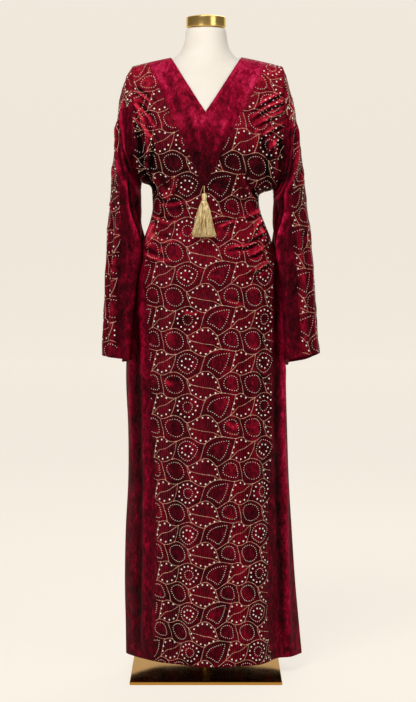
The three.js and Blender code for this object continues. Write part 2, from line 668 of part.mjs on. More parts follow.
async function formTorso() {
  const columns = 20; // across the front, and across the back
  const rings = rowsFromTo(0, FIGURE_ROWS - 1).map((rowNumber) => {
    const place = (i) => -1 + (2 * i) / columns;
    const front = rowsFromTo(0, columns).map((i) => bodyPoint(FIGURE, -1, place(i), rowNumber));
    const back = rowsFromTo(0, columns).map((i) => bodyPoint(FIGURE, 1, -place(i), rowNumber));
    const least = 0.2; // keeps the two sides of a ring apart where they meet
    front.forEach((p) => (p.y = Math.min(p.y, -least)));
    back.forEach((p) => (p.y = Math.max(p.y, least)));
    return [...front, ...back];
  });
  const sides = 32;
  const neck = [...NECK_RINGS].reverse().map(({ x, y, z }) =>
    rowsFromTo(0, sides - 1).map((i) => {
      const turn = Math.PI + ((i + 0.5) * 2 * Math.PI) / sides;
      return new THREE.Vector3(x * Math.cos(turn), y * Math.sin(turn), z);
    }),
  );
  const wasm = await Module();
  wasm.setup();
  const whole = solidOf(wasm, loft(rings)).add(solidOf(wasm, loft(neck))).getMesh();
  return new THREE.BufferGeometry()
    .setAttribute("position", new THREE.BufferAttribute(whole.vertProperties, 3))
    .setIndex(new THREE.BufferAttribute(whole.triVerts, 1));
}

function neckCap() {
  const { radius, band, dome, lip } = CAP;
  const profile = [
    [0, 0],
    [radius - lip / 2, 0],
    [radius, lip / 2],
    [radius, band - lip],
    [radius - lip, band],
    [radius * 0.8, band + dome * 0.42],
    [radius * 0.5, band + dome * 0.8],
    [radius * 0.2, band + dome * 0.98],
    [0, band + dome],
  ];
  const geometry = new THREE.LatheGeometry(profile.map(([r, z]) => new THREE.Vector2(r, z)), 40);
  return geometry.rotateX(Math.PI / 2);
}

function formPole() {
  const length = POLE.top - PLATE.thickness - 2 * SEAM;
  return new THREE.CylinderGeometry(POLE.radius, POLE.radius, length, 24).rotateX(Math.PI / 2);
}

function basePlate() {
  const { side, thickness, edge } = PLATE;
  const half = side / 2 - edge;
  const outline = new THREE.Shape([
    new THREE.Vector2(-half, -half),
    new THREE.Vector2(half, -half),
    new THREE.Vector2(half, half),
    new THREE.Vector2(-half, half),
  ]);
  return new THREE.ExtrudeGeometry(outline, {
    depth: thickness - 2 * edge,
    bevelThickness: edge,
    bevelSize: edge,
    bevelSegments: 1,
  }).translate(0, 0, edge);
}

// ---- Assembly ----

function mesh(name, geometry, colour) {
  const made = new THREE.Mesh(geometry, new THREE.MeshStandardMaterial(COLOURS[colour]));
  made.name = name;
  return made;
}

function jalabiya() {
  const garment = new THREE.Group();
  garment.add(mesh("front_panel", frontPanel(), "print"));
  garment.add(mesh("front_yoke", frontYoke(), "velvet"));
  garment.add(mesh("back_panel", backPanel(), "velvet"));
  for (const [name, side] of [["left", -1], ["right", 1]]) {
    garment.add(mesh(`side_panel_${name}`, sidePanel(side), "velvet"));
    garment.add(mesh(`sleeve_${name}_print`, sleevePrint(side), "print"));
    garment.add(mesh(`sleeve_${name}_plain`, sleevePlain(side), "velvet"));
  }
  const tassel = new THREE.Group();
  tassel.position.set(TASSEL.x, TASSEL.y, TASSEL.top);
  tassel.rotation.x = -radians(TASSEL.lean); // it lies against the cloth, which comes forward below
  for (const [name, geometry] of Object.entries(tasselParts())) tassel.add(mesh(name, geometry, "threads"));
  return garment.add(tassel);
}

async function dressForm() {
  const form = new THREE.Group();
  const cap = mesh("neck_cap", neckCap(), "gold");
  cap.position.z = CAP.bottom;
  const pole = mesh("form_pole", formPole(), "gold");
  pole.position.z = (POLE.top + PLATE.thickness) / 2;
  return form.add(mesh("form_torso", await formTorso(), "form"), cap, pole, mesh("base_plate", basePlate(), "gold"));
}

const part = new THREE.Group();
part.add(jalabiya(), await dressForm());

export default part;
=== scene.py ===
"""A floor-length jalabiya of crushed velvet with a printed front, worn by a limbless dress form.

Sizes are in millimetres until a mesh is made. +Z is up and the front faces -Y, so the left is -X.
A place on the body's cloth is a row, from the shoulder line (0) to the hem (27), and a place across
it, from -1 at the left edge to 1 at the right edge. A place on a sleeve is a ring, from the armhole
seam (0) to the cuff (11), and an angle from its outer fold, positive round the front.
"""

import json
import logging
import math
from collections.abc import Callable, Sequence
from dataclasses import dataclass, field
from enum import Enum
from functools import partial

import bpy
import numpy as np
from bpy.types import ID, Material, Node, NodeSocket, NodeTree, Object, bpy_prop_collection
from mathutils import Euler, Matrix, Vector, noise

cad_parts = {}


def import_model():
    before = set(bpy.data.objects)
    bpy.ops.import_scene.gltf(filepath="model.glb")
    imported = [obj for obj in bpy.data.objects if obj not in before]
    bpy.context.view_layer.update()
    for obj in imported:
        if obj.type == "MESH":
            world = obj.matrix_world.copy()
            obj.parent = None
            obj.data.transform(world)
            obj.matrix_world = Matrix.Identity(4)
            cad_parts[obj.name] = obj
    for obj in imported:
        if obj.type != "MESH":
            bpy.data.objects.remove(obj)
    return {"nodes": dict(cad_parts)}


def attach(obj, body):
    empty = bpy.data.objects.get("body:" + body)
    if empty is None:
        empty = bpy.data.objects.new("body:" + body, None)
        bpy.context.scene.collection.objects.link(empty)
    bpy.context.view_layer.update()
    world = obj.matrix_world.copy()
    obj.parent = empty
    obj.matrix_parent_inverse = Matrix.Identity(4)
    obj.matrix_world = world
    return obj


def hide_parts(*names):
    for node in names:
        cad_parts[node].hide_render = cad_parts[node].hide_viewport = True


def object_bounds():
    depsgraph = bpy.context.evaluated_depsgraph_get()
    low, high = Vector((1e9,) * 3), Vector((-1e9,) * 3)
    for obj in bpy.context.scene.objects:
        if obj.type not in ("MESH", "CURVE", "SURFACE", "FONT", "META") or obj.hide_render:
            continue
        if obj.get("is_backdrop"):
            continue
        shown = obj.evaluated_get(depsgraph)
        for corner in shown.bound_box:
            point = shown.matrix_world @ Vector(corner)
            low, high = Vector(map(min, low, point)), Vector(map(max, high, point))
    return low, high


log = logging.getLogger("jalabiya")

Array = np.ndarray
Line = Callable[[Array], Array]

FlatPath = tuple[tuple[float, float], ...]
METRE = 0.001  # metres in a millimetre
WALL = 2.0  # thickness of the velvet with its pile
SEAM = 0.3  # gap between two pieces that are sewn together
TIGHT_WIDTH = 8.0  # widest crease that gets its full painted light on the ridge and painted shade in the trough
TINY = 1e-9  # keeps a length of 0 out of a division
CREASE_REACH = 2.4  # from a crease's line to where it and its lee have faded, in widths
LEE_AWAY = 1.15  # from a crease's line to its lee, in widths
EDGE_FADE = 5.0  # from the body's edge to where its creases are full
SHOULDER_FADE = 2.5  # the same from the shoulder line, in rows
ARMHOLE_FADE = 1.2  # the same from the armhole seam, in rings
BODY_RIPPLES = ((60, 2.4, 3), (26, 1.3, 11))  # size, height and seed of each
SLEEVE_RIPPLES = ((60, 2.6, 23), (24, 1.4, 31))
MERGES_PER_MM = 50  # points that round to the same fiftieth of a millimetre are one
CLOTH_DEGREES, RIM_DEGREES = 55, 35  # edges that turn by more than this stay sharp
LEAST_PER_DEGREE = 0.2  # least distance round a sleeve that counts for a degree
MAP_SPACING, MAP_PLACES = 6, 121  # how finely the printed front is measured, down and across
MAP_RINGS, MAP_ANGLES = 120, (-60.0, 150.0, 106)  # the same for a sleeve
WAVE = math.tau / 20  # a wave texture's spacing at scale 1, in metres
GOLDEN_ANGLE = 2.39996
VINE_SIDES, BEAD_SIDES = 5, 6
KNOT_FORM, STUD_FORM, STONE_FORM = (4, 0.5), (3, 0.5), (5, 0.45)  # rings, and height over radius


class Face(Enum):
    """Side of the body that a piece of cloth covers."""

    FRONT = -1
    BACK = 1


class Side(Enum):
    """Side of the garment, as its viewer names it."""

    LEFT = -1
    RIGHT = 1


# ---- Small tools ----


def linear(colour: str) -> tuple[float, float, float, float]:
    """Turn an sRGB hex colour into linear light.

    Args:
        colour: six hex digits.

    Returns:
        Red, green, blue and full alpha.
    """
    parts = [int(colour[i : i + 2], 16) / 255 for i in (0, 2, 4)]
    red, green, blue = (c / 12.92 if c <= 0.04045 else ((c + 0.055) / 1.055) ** 2.4 for c in parts)
    return red, green, blue, 1.0


def smoothstep(value: Array, low: float = 0.0, high: float = 1.0) -> Array:
    """Rise smoothly from 0 to 1.

    Args:
        value: where to read the curve.
        low: where it leaves 0.
        high: where it reaches 1.

    Returns:
        The curve's values.
    """
    t = np.clip((value - low) / (high - low), 0, 1)
    return t * t * (3 - 2 * t)


def unit(vectors: Array) -> Array:
    """Return the vectors at length 1."""
    return vectors / np.maximum(np.linalg.norm(vectors, axis=-1, keepdims=True), TINY)


def quarter_sine(across: Array) -> Array:
    """Return how far aside a place across a row is, as a share of the row's half width."""
    return np.sin(across * math.pi / 2)


def wrapped(angle: Array) -> Array:
    """Return the same angles from -180 to 180 degrees."""
    return np.where(angle > 180, angle - 360, np.where(angle < -180, angle + 360, angle))


def add_up(steps: Array) -> Array:
    """Return the running total of steps, from 0."""
    return np.concatenate([[0], np.cumsum(steps)])


def lengths(points: Array) -> Array:
    """Return the distance from each point of a line to the next."""
    return np.linalg.norm(np.diff(points, axis=0), axis=1)


def catmull_rom(points: Array, places: Array) -> Array:
    """Read a smooth curve through points.

    Args:
        points: the points, one a row.
        places: places along it, counted in points from the first.

    Returns:
        The curve's points.
    """
    last = len(points) - 1
    i = np.clip(np.floor(places).astype(int), 0, last - 1)
    t = (places - i)[..., None]
    a, b, c, d = (points[np.clip(i + k, 0, last)] for k in (-1, 0, 1, 2))
    return b + 0.5 * t * (c - a + t * (2 * a - 5 * b + 4 * c - d + t * (3 * (b - c) + d - a)))


def smooth_path(points: Sequence[tuple[float, float]], spacing: float, closed: bool = False) -> Array:
    """Lay evenly spaced points along a smooth curve.

    Args:
        points: what the curve goes through, in the plane.
        spacing: distance between two of the points laid.
        closed: whether it comes back to its start.

    Returns:
        The points laid; a closed curve doesn't repeat its first one.
    """
    given = np.array(points, float)
    around, stops_per_point = 3, 16
    if closed:
        given = np.vstack([given[-around:], given, given[: around + 1]])
        places = np.linspace(around, len(given) - 1 - around, stops_per_point * len(points) + 1)
    else:
        places = np.linspace(0, len(given) - 1, stops_per_point * len(points) + 1)
    dense = catmull_rom(given, places)
    run = add_up(lengths(dense))
    count = max(round(run[-1] / spacing), 2)
    stops = np.linspace(0, run[-1], count + 1)[: count if closed else count + 1]
    return np.stack([np.interp(stops, run, dense[:, k]) for k in range(2)], axis=1)


# ---- Shape of the cloth ----


@dataclass(frozen=True)
class RowTable:
    """Sizes listed row by row, read as smooth curves between the rows."""

    columns: tuple[str, ...]
    lines: tuple[tuple[float, ...], ...]

    def at(self, rows: Array) -> dict[str, Array]:
        """Return every column's value at row numbers that may lie between two rows."""
        blend = catmull_rom(np.array(self.lines, float), np.asarray(rows, float))
        return {name: blend[..., k] for k, name in enumerate(self.columns)}


BODY = RowTable(
    (
        "middle", "low_left", "low_right", "left", "right", "edge", "front", "back", "turn",
        "panel_left", "panel_right",
    ),
    (
        (1469, 1437, 1437, -175, 181, 0, 0, 0, 1, -175, 181),  # shoulder line
        (1465, 1433, 1433, -175, 183, 14, 24, 24, 1, -175, 183),
        (1457, 1426, 1426, -174, 184, 27, 42, 42, 1, -174, 184),
        (1439, 1409, 1409, -174, 185, 42, 60, 62, 1, -174, 185),
        (1408, 1381, 1381, -174, 185, 55, 76, 76, 1, -174, 185),
        (1370, 1349, 1349, -174, 186, 64, 90, 86, 1, -174, 186),
        (1324, 1309, 1308, -174, 186, 70, 104, 92, 0.95, -174, 186),  # point of the neck
        (1280, 1270, 1266, -174, 186, 72, 118, 96, 0.9, -174, 186),
        (1236, 1230, 1222, -173, 185, 67, 120, 96, 0.85, -173, 185),
        (1200, 1197, 1186, -169, 181, 52, 113, 93, 0.75, -169, 181),
        (1173, 1173, 1158, -161, 171, 28, 106, 90, 0.65, -161, 171),
        (1158, 1159, 1142, -152, 158, 3, 103, 88, 0.55, -152, 158),  # underarm
        (1149, 1150, 1133, -132, 131, 0, 101, 87, 0.5, -132, 131),  # point of the yoke
        (1122, 1122, 1117, -128, 126, 0, 98, 85, 0.5, -128, 126),
        (1092, 1092, 1090, -128, 130, 0, 98, 86, 0.5, -128, 130),
        (1060, 1060, 1060, -136, 141, 0, 102, 92, 0.5, -136, 141),
        (1030, 1030, 1030, -147, 153, 0, 108, 100, 0.5, -140, 153),
        (990, 990, 990, -160, 165, 0, 115, 109, 0.5, -143, 159),
        (945, 945, 945, -172, 175, 0, 121, 117, 0.5, -145, 161),  # hip
        (880, 880, 880, -182, 183, 0, 125, 122, 0.51, -142, 160),
        (790, 790, 790, -188, 189, 0, 127, 124, 0.52, -136, 159),
        (690, 690, 690, -191, 191, 0, 130, 126, 0.54, -131, 156),
        (570, 570, 570, -186, 194, 0, 133, 129, 0.58, -127, 155),
        (450, 450, 450, -186, 198, 0, 137, 133, 0.64, -121, 152),
        (330, 330, 330, -192, 205, 0, 141, 138, 0.7, -115, 147),
        (210, 210, 210, -194, 213, 0, 145, 143, 0.76, -116, 145),
        (110, 110, 110, -192, 222, 0, 148, 147, 0.82, -119, 146),
        (36, 36, 36, -191, 229, 0, 150, 150, 0.85, -126, 153),  # hem
    ),
)
HEM_ROW = 27
UNDERARM_ROW = 11
NECK_TIP_X, NECK_TIP_ROW, NECK_HALF_WIDTH = -1.0, 6, 85.0
NECK_BOW = 0.96  # below 1 the sides of the V bow outwards
BACK_NECK_ROW = 3
YOKE_LEFT, YOKE_RIGHT, YOKE_TOP, YOKE_TIP_X, YOKE_TIP_ROW = -136.0, 144.0, 1444.0, -4.0, 12
LEFT_GORE_ROW, RIGHT_GORE_ROW = 15, 16

SLEEVE_COLUMNS = ("outer_x", "outer_z", "inner_x", "inner_z", "front", "back", "seam", "dip", "wrap")
SLEEVES = {
    Side.LEFT: RowTable(
        SLEEVE_COLUMNS,
        (
            (190, 1415, 152.6, 1156, 71, 70, 68, 0, 0),
            (201, 1383, 153, 1153, 72, 72, 54, 0, 0),
            (210, 1340, 153.2, 1149, 73, 73, 44, 0, 0),
            (217, 1275, 153.4, 1144, 74, 74, 46, 0, 0),
            (222, 1210, 153.6, 1138, 74, 75, 56, 0, 0),
            (228, 1140, 153.6, 1128, 73, 75, 70, 0, 0),
            (232, 1085, 153.4, 1085, 72, 75, 77.5, 0, 6),
            (238, 1010, 157, 1010, 72, 76, 81, 0, 28),
            (241, 925, 181, 925, 74, 78, 84, 0, 34),
            (245, 840, 190, 840, 76, 80, 88, 0, 33),
            (248.6, 747, 196, 731, 78, 82, 92.5, 6, 30),
        ),
    ),
    Side.RIGHT: RowTable(
        SLEEVE_COLUMNS,
        (
            (191, 1415, 158.6, 1139, 71, 70, 76, 0, 0),
            (201, 1381, 159, 1136, 72, 72, 68, 0, 0),
            (210, 1337, 159.2, 1132, 73, 73, 62, 0, 0),
            (218.5, 1280, 159.4, 1127, 74, 74, 64, 0, 0),
            (227, 1222, 159.6, 1121, 74, 75, 72, 0, 0),
            (236, 1155, 159.6, 1112, 73, 75, 84, 0, 0),
            (243.8, 1085, 159.4, 1075, 72, 75, 89, 0, 4),
            (252, 1010, 166, 1004, 72, 76, 87, 0, 24),
            (260, 920, 184, 920, 74, 78, 89.5, 0, 26),
            (265, 835, 191, 835, 76, 80, 89, 0, 28),
            (272, 752, 193, 724, 78, 82, 88, 10, 26),
        ),
    ),
}
CUFF_RING = 11
STRAIGHT_RING = 6
BACK_SEAM_ANGLE = -33.0
LAP_FROM, LAP_TO = 70.0, 165.0  # degrees between which a hanging sleeve laps round the hip
ARMHOLE_STEP = 180 / UNDERARM_ROW  # degrees for a body row, round an armhole
PRINT_STEPS, BACK_STEPS = 5, 2  # armhole steps that the printed part takes in front and behind


@dataclass(frozen=True)
class Fold:
    """A long fold that grows from its top down to the hem."""

    face: Face
    x: float
    lean: float
    width: float
    depth: float
    top: float
    reach: float = 1.6  # from its line to where it has faded, in widths

    def depth_at(self, x: Array, z: Array) -> Array:
        """Measure the fold.

        Args:
            x: where the places lie from side to side.
            z: their height.

        Returns:
            How far it moves the cloth at each place.
        """
        down = np.clip((self.top - z) / self.top, 0, 1)
        place = self.x - self.lean * (1 - down)
        near = np.clip(1 - np.abs(x - place) / (self.width * self.reach), 0, 1)
        return self.depth * down * near * near * (3 - 2 * near)


FOLDS = (
    Fold(Face.FRONT, 166, 10, 26, -26, 520),
    Fold(Face.FRONT, 126, 6, 34, 13, 600),
    Fold(Face.FRONT, -60, -8, 36, -7, 480),
    Fold(Face.FRONT, 8, 4, 50, 7, 420),
    Fold(Face.BACK, -120, -10, 38, 14, 700),
    Fold(Face.BACK, -48, -4, 40, -13, 620),
    Fold(Face.BACK, 30, 4, 44, 15, 720),
    Fold(Face.BACK, 112, 10, 40, -13, 600),
)


@dataclass(frozen=True)
class Crease:
    """A soft ridge or trough along a smooth path over the cloth.

    path: places (u, z); u is x on the body, and millimetres round from the outer fold on a sleeve.
    width: from its line to where it has faded. depth: how far it stands out; below 0 it sinks in.
    lee: depth of the trough on the path's left, as a share of the ridge's.
    start, end: share of the path over which it rises and fades.
    """

    path: FlatPath
    width: float
    depth: float
    lee: float
    start: float
    end: float

    def depth_at(self, u: Array, z: Array) -> Array:
        """Measure the crease.

        Args:
            u: first coordinate of the places.
            z: height of the places.

        Returns:
            How far it moves the cloth outwards at each place.
        """
        total = np.zeros(u.shape)
        places = np.linspace(0, len(self.path) - 1, 6 * len(self.path))
        line = catmull_rom(np.array(self.path, float), places)
        reach = self.width * CREASE_REACH
        low, high = line.min(axis=0) - reach, line.max(axis=0) + reach
        inside = (u > low[0]) & (u < high[0]) & (z > low[1]) & (z < high[1])
        if not inside.any():
            return total
        here = np.stack([u[inside], z[inside]], axis=-1)
        best = np.full(len(here), np.inf)
        signed, along = np.zeros(len(here)), np.zeros(len(here))
        for k, (a, b) in enumerate(zip(line[:-1], line[1:])):
            step = b - a
            share = np.clip(((here - a) @ step) / max(step @ step, TINY), 0, 1)
            off = here - (a + share[:, None] * step)
            distance = np.hypot(off[:, 0], off[:, 1])
            closer = distance < best
            best = np.where(closer, distance, best)
            side = np.sign(step[0] * off[:, 1] - step[1] * off[:, 0])
            signed = np.where(closer, distance * np.where(side == 0, 1, side), signed)
            along = np.where(closer, (k + share) / (len(line) - 1), along)
        ridge = np.clip(1 - (signed / self.width) ** 2, 0, 1) ** 2
        trough = np.clip(1 - ((signed - LEE_AWAY * self.width) / self.width) ** 2, 0, 1) ** 2
        taper = smoothstep(along, 0, self.start) * (1 - smoothstep(along, 1 - self.end, 1))
        total[inside] = self.depth * (ridge - self.lee * trough) * taper
        return total


def creases(*rows: tuple[float, ...]) -> tuple[Crease, ...]:
    """Make creases.

    Args:
        rows: width, depth, lee, start and end of each, and then u and z of each point of its path.

    Returns:
        The creases.
    """
    return tuple(Crease(tuple(zip(row[5::2], row[6::2])), *row[:5]) for row in rows)


FRONT_CREASES = creases(
    # from the left armhole over the bust
    (7, 6.5, 0, 0.15, 0.3, -168, 1359, -154, 1312, -138, 1270, -135, 1228, -140, 1186),
    (9, -8, 0, 0.1, 0.15, -168, 1303, -159, 1256, -152, 1210, -149, 1166),
    (8, -8, 0, 0.25, 0.2, -128, 1262, -126, 1232, -129, 1198, -131, 1164),
    (6, 3.4, 0.9, 0.15, 0.5, -172, 1376, -150, 1362, -128, 1344, -108, 1330),
    (6, 4.2, 0.9, 0.1, 0.5, -172, 1342, -148, 1324, -128, 1298, -118, 1264),
    (6, 3.6, 0.9, 0.1, 0.5, -172, 1310, -150, 1288, -120, 1250, -112, 1216),
    (10, 5, 0.7, 0.15, 0.5, -158, 1212, -128, 1180, -104, 1140, -92, 1104),
    (8, -6, 0, 0.2, 0.5, -150, 1180, -126, 1150, -118, 1112),
    (20, -6, 0, 0.2, 0.1, -166, 1290, -158, 1230, -146, 1166),
    # from the right armhole towards the bust
    (18, -5, 0, 0.2, 0.1, 180, 1276, 172, 1222, 160, 1160),
    (6, 3.6, 0.9, 0.1, 0.5, 184, 1372, 152, 1356, 120, 1336, 96, 1318),
    (6, 4.4, 0.9, 0.1, 0.5, 186, 1350, 150, 1336, 118, 1316, 96, 1298),
    (5, 4.2, 0.9, 0.1, 0.5, 184, 1325, 156, 1312, 128, 1296, 104, 1282),
    (6, 5, 1.2, 0.1, 0.4, 186, 1298, 160, 1284, 136, 1268, 112, 1252),
    (6, 4.2, 1, 0.1, 0.4, 184, 1268, 164, 1252, 148, 1232, 136, 1206),
    (8, -6, 0, 0.25, 0.2, 128, 1276, 139, 1238, 146, 1196, 144, 1158),
    (7, 7, 0, 0.2, 0.2, 158, 1258, 166, 1214, 166, 1170),
    (7, -5, 0, 0.15, 0.2, 180, 1250, 182, 1214, 178, 1184),
    (12, 4, 0.5, 0.3, 0.5, 120, 1300, 118, 1250, 110, 1196, 98, 1150),
    # down the bodice to the waist
    (6, 6.5, 1, 0.25, 0.3, 86, 1186, 93, 1154, 109, 1124, 121, 1100),
    (7, 6, -0.9, 0.25, 0.3, -75, 1178, -79, 1154, -93, 1126, -100, 1114),
    (9, -3.4, 0.6, 0.4, 0.3, -20, 1132, -52, 1118, -88, 1112, -118, 1118),
    (7, 5, 0.8, 0.2, 0.3, 122, 1096, 128, 1056, 141, 1020),
    (7, 5, -0.8, 0.2, 0.3, -131, 1064, -136, 1026, -138, 996),
    # over the waist and hip, mostly on the right
    (5, 6, 1.1, 0.15, 0.5, 121, 1018, 92, 1008, 70, 1006, 40, 998),
    (5, 5.5, 1.1, 0.15, 0.5, 136, 1010, 128, 998, 110, 988, 92, 984),
    (6, 4.5, 0.9, 0.15, 0.5, 140, 1044, 124, 1034, 104, 1026, 80, 1024),
    (7, 4.4, 0.9, 0.15, 0.5, 150, 972, 134, 960, 112, 950, 86, 948),
    (6, 4.6, 0.9, 0.15, 0.5, 136, 1072, 122, 1058, 112, 1040, 96, 1030),
    (7, 3.6, 0.9, 0.2, 0.5, 130, 1096, 116, 1084, 98, 1076, 74, 1072),
    (6, 4, 0.9, 0.3, 0.4, 28, 1052, 42, 1056, 56, 1062, 84, 1068),
    (9, 3.6, 0.8, 0.2, 0.5, -136, 1034, -112, 1022, -84, 1018, -56, 1024),
    (8, 3.4, 0.8, 0.2, 0.5, -130, 1080, -108, 1066, -84, 1060, -60, 1064),
    (9, 3.2, 0.8, 0.2, 0.5, -150, 990, -128, 980, -100, 972, -70, 974),
    # long soft folds of the skirt
    (22, 4, 0.7, 0.3, 0.1, -96, 960, -88, 800, -92, 620, -104, 400, -110, 60),
    (24, 3.6, 0.8, 0.4, 0.05, -24, 900, -20, 700, -26, 460, -36, 200, -40, 40),
    (24, 4.4, 0.8, 0.3, 0.05, 66, 940, 60, 760, 64, 560, 78, 330, 84, 40),
    (18, 3.6, 0.8, 0.3, 0.3, 120, 900, 112, 720, 116, 520, 132, 300),
    (20, -3.6, 0, 0.4, 0.05, 20, 640, 24, 460, 34, 240, 40, 40),
    (18, -3.4, 0, 0.4, 0.05, -70, 560, -66, 400, -72, 200, -78, 40),
    # side panels
    (12, -4.5, 0.7, 0.3, 0.05, -166, 960, -164, 820, -160, 660, -156, 420, -160, 40),
    (9, 3, 0.7, 0.3, 0.4, -178, 860, -178, 660, -174, 480),
    (12, -5, 0.9, 0.2, 0.05, 170, 980, 168, 900, 170, 800, 168, 640, 172, 420, 184, 40),
    (9, 3.4, 0.7, 0.2, 0.4, 182, 900, 180, 760, 182, 600, 190, 420),
    # short puckers in the skirt
    (7, -3.4, 0.5, 0.4, 0.4, 128, 800, 142, 784, 152, 762),
    (7, -3.2, 0.5, 0.4, 0.4, 124, 712, 138, 694, 150, 680),
    (9, 2.2, 0.8, 0.4, 0.5, -60, 860, -36, 848, -8, 852),
    (10, 2, 0.8, 0.4, 0.5, -20, 772, 12, 760, 40, 764),
    (10, 2.2, 0.8, 0.4, 0.5, 40, 880, 72, 870, 104, 874),
    (10, 2, 0.8, 0.4, 0.5, -110, 700, -84, 684, -60, 684),
    (10, 2, 0.8, 0.4, 0.5, 30, 600, 62, 586, 90, 588),
    # turned edge of the neck
    (3.6, 0.9, 0.7, 0.05, 0.05, -4, 1315, -24, 1346, -46, 1380, -90, 1450),
    (3.6, 0.9, 0.7, 0.05, 0.05, 88, 1450, 44, 1380, 22, 1346, 2, 1315),
    # on the yoke
    (13, 2.6, 0.8, 0.3, 0.5, -118, 1432, -100, 1390, -84, 1340, -72, 1290),
    (13, 2.6, -0.8, 0.3, 0.5, 126, 1430, 108, 1384, 92, 1330, 80, 1280),
    (12, -2.2, 0.6, 0.3, 0.5, -58, 1340, -40, 1290, -24, 1230, -10, 1180),
    (12, 2.2, 0.7, 0.3, 0.5, 56, 1330, 42, 1280, 22, 1220, 8, 1176),
)

BACK_CREASES = creases(
    (12, 6, 0.8, 0.15, 0.5, -164, 1300, -140, 1262, -122, 1210, -114, 1150),
    (12, 6, -0.8, 0.15, 0.5, 176, 1300, 150, 1258, 130, 1204, 120, 1150),
    (9, -5, 0.4, 0.15, 0.5, -160, 1230, -136, 1196, -118, 1150),
    (9, -5, 0.4, 0.15, 0.5, 170, 1226, 146, 1192, 128, 1144),
    (10, 3.4, 0.9, 0.25, 0.5, -120, 1110, -78, 1092, -34, 1086, 14, 1092),
    (10, 3.6, 0.9, 0.25, 0.5, 122, 1100, 84, 1076, 44, 1066, 0, 1068),
    (10, 3, 0.9, 0.25, 0.5, -134, 1052, -92, 1034, -48, 1030, -10, 1036),
    (10, 3.4, 0.9, 0.25, 0.5, 140, 1036, 96, 1016, 54, 1010, 20, 1014),
    (12, 2.6, 0.9, 0.25, 0.5, -150, 990, -104, 970, -60, 966),
    (18, 2.4, 0.8, 0.4, 0.4, -60, 1330, -52, 1240, -56, 1150),
    (18, 2.4, -0.8, 0.4, 0.4, 66, 1350, 56, 1250, 60, 1160),
    (24, 5, 0.8, 0.3, 0.05, -128, 920, -122, 700, -126, 420, -134, 40),
    (24, 4.4, 0.8, 0.3, 0.05, -74, 940, -70, 700, -78, 400, -86, 40),
    (26, 5, 0.8, 0.4, 0.05, -6, 900, 0, 660, -6, 380, -14, 40),
    (24, 4.4, 0.8, 0.3, 0.05, 66, 930, 72, 700, 76, 400, 84, 40),
    (22, 5, 0.8, 0.3, 0.05, 134, 900, 138, 680, 146, 400, 160, 40),
    (12, 4.4, 0.8, 0.3, 0.3, -166, 860, -168, 600, -168, 300),
    (12, 4.4, -0.8, 0.3, 0.3, 174, 860, 178, 600, 188, 300),
)

SLEEVE_CREASES = {
    Side.LEFT: creases(
        (12, 5, 0.8, 0.15, 0.4, 40, 1360, 60, 1300, 84, 1240, 120, 1180),
        (12, 5, 0.9, 0.2, 0.4, 20, 1320, 36, 1250, 62, 1190, 104, 1130),
        (10, -6, 0.4, 0.2, 0.3, 60, 1290, 90, 1220, 140, 1170),
        (10, 6, 0.9, 0.2, 0.4, 100, 1170, 104, 1110, 112, 1040, 116, 960),
        (20, -8, 0, 0.15, 0.1, 150, 1130, 148, 1060, 146, 960, 146, 860, 148, 750),
        (16, 3.6, 0.9, 0.3, 0.1, 30, 1150, 34, 1050, 40, 940, 44, 820, 48, 740),
        (14, 4, 0.9, 0.3, 0.1, 72, 1100, 70, 1000, 78, 880, 84, 740),
        (10, 3.4, 0.9, 0.3, 0.5, 10, 1210, 26, 1176, 50, 1150),
        (10, 3, 0.9, 0.3, 0.5, 14, 1120, 36, 1096, 60, 1080),
        (10, 2.2, 0.8, 0.4, 0.5, 44, 962, 60, 946, 80, 940),
        (16, 4.6, 0.9, 0.2, 0.1, -30, 1300, -52, 1200, -64, 1090, -60, 960, -66, 740),
        (16, 5, 0.9, 0.2, 0.1, -80, 1290, -104, 1200, -112, 1080, -106, 900, -112, 740),
        (14, -5, 0.5, 0.2, 0.3, -140, 1180, -146, 1060, -150, 900),
    ),
    Side.RIGHT: creases(
        (12, 5, 0.8, 0.15, 0.4, 44, 1350, 66, 1290, 92, 1226, 130, 1160),
        (12, 5, 0.9, 0.2, 0.4, 24, 1310, 44, 1240, 72, 1176, 116, 1120),
        (10, -6, 0.4, 0.2, 0.3, 70, 1290, 100, 1216, 146, 1150),
        (10, 6, 0.9, 0.2, 0.4, 110, 1150, 112, 1090, 120, 1010, 122, 920),
        (18, -7, 0, 0.15, 0.1, 152, 1120, 150, 1040, 148, 940, 148, 840, 150, 750),
        (16, 3.6, 0.9, 0.3, 0.1, 34, 1140, 36, 1040, 44, 930, 46, 820, 50, 740),
        (14, 4, 0.9, 0.3, 0.1, 76, 1090, 76, 990, 84, 870, 86, 740),
        (10, 3.4, 0.9, 0.3, 0.5, 12, 1200, 30, 1166, 54, 1142),
        (10, 2.6, 0.9, 0.3, 0.5, 16, 1046, 40, 1024, 66, 1012),
        (16, 4.6, 0.9, 0.2, 0.1, -30, 1300, -50, 1200, -62, 1080, -60, 950, -64, 740),
        (16, 5, 0.9, 0.2, 0.1, -84, 1290, -108, 1190, -116, 1080, -110, 900, -114, 740),
        (14, -5, 0.5, 0.2, 0.3, -140, 1170, -148, 1060, -150, 900),
    ),
}


def crease_all(creases: Sequence[Crease], u: Array, z: Array) -> tuple[Array, Array]:
    """Add up creases.

    Args:
        creases: the creases.
        u: first coordinate of the places.
        z: height of the places.

    Returns:
        How far they move the cloth at each place, and the same with broad folds counted for less,
        which the velvet reads to paint light on ridges and shade in troughs, fullest on tight creases.
    """
    depths = [crease.depth_at(u, z) for crease in creases]
    tight = sum(d * min(1.0, TIGHT_WIDTH / c.width) for c, d in zip(creases, depths))
    return sum(depths), tight


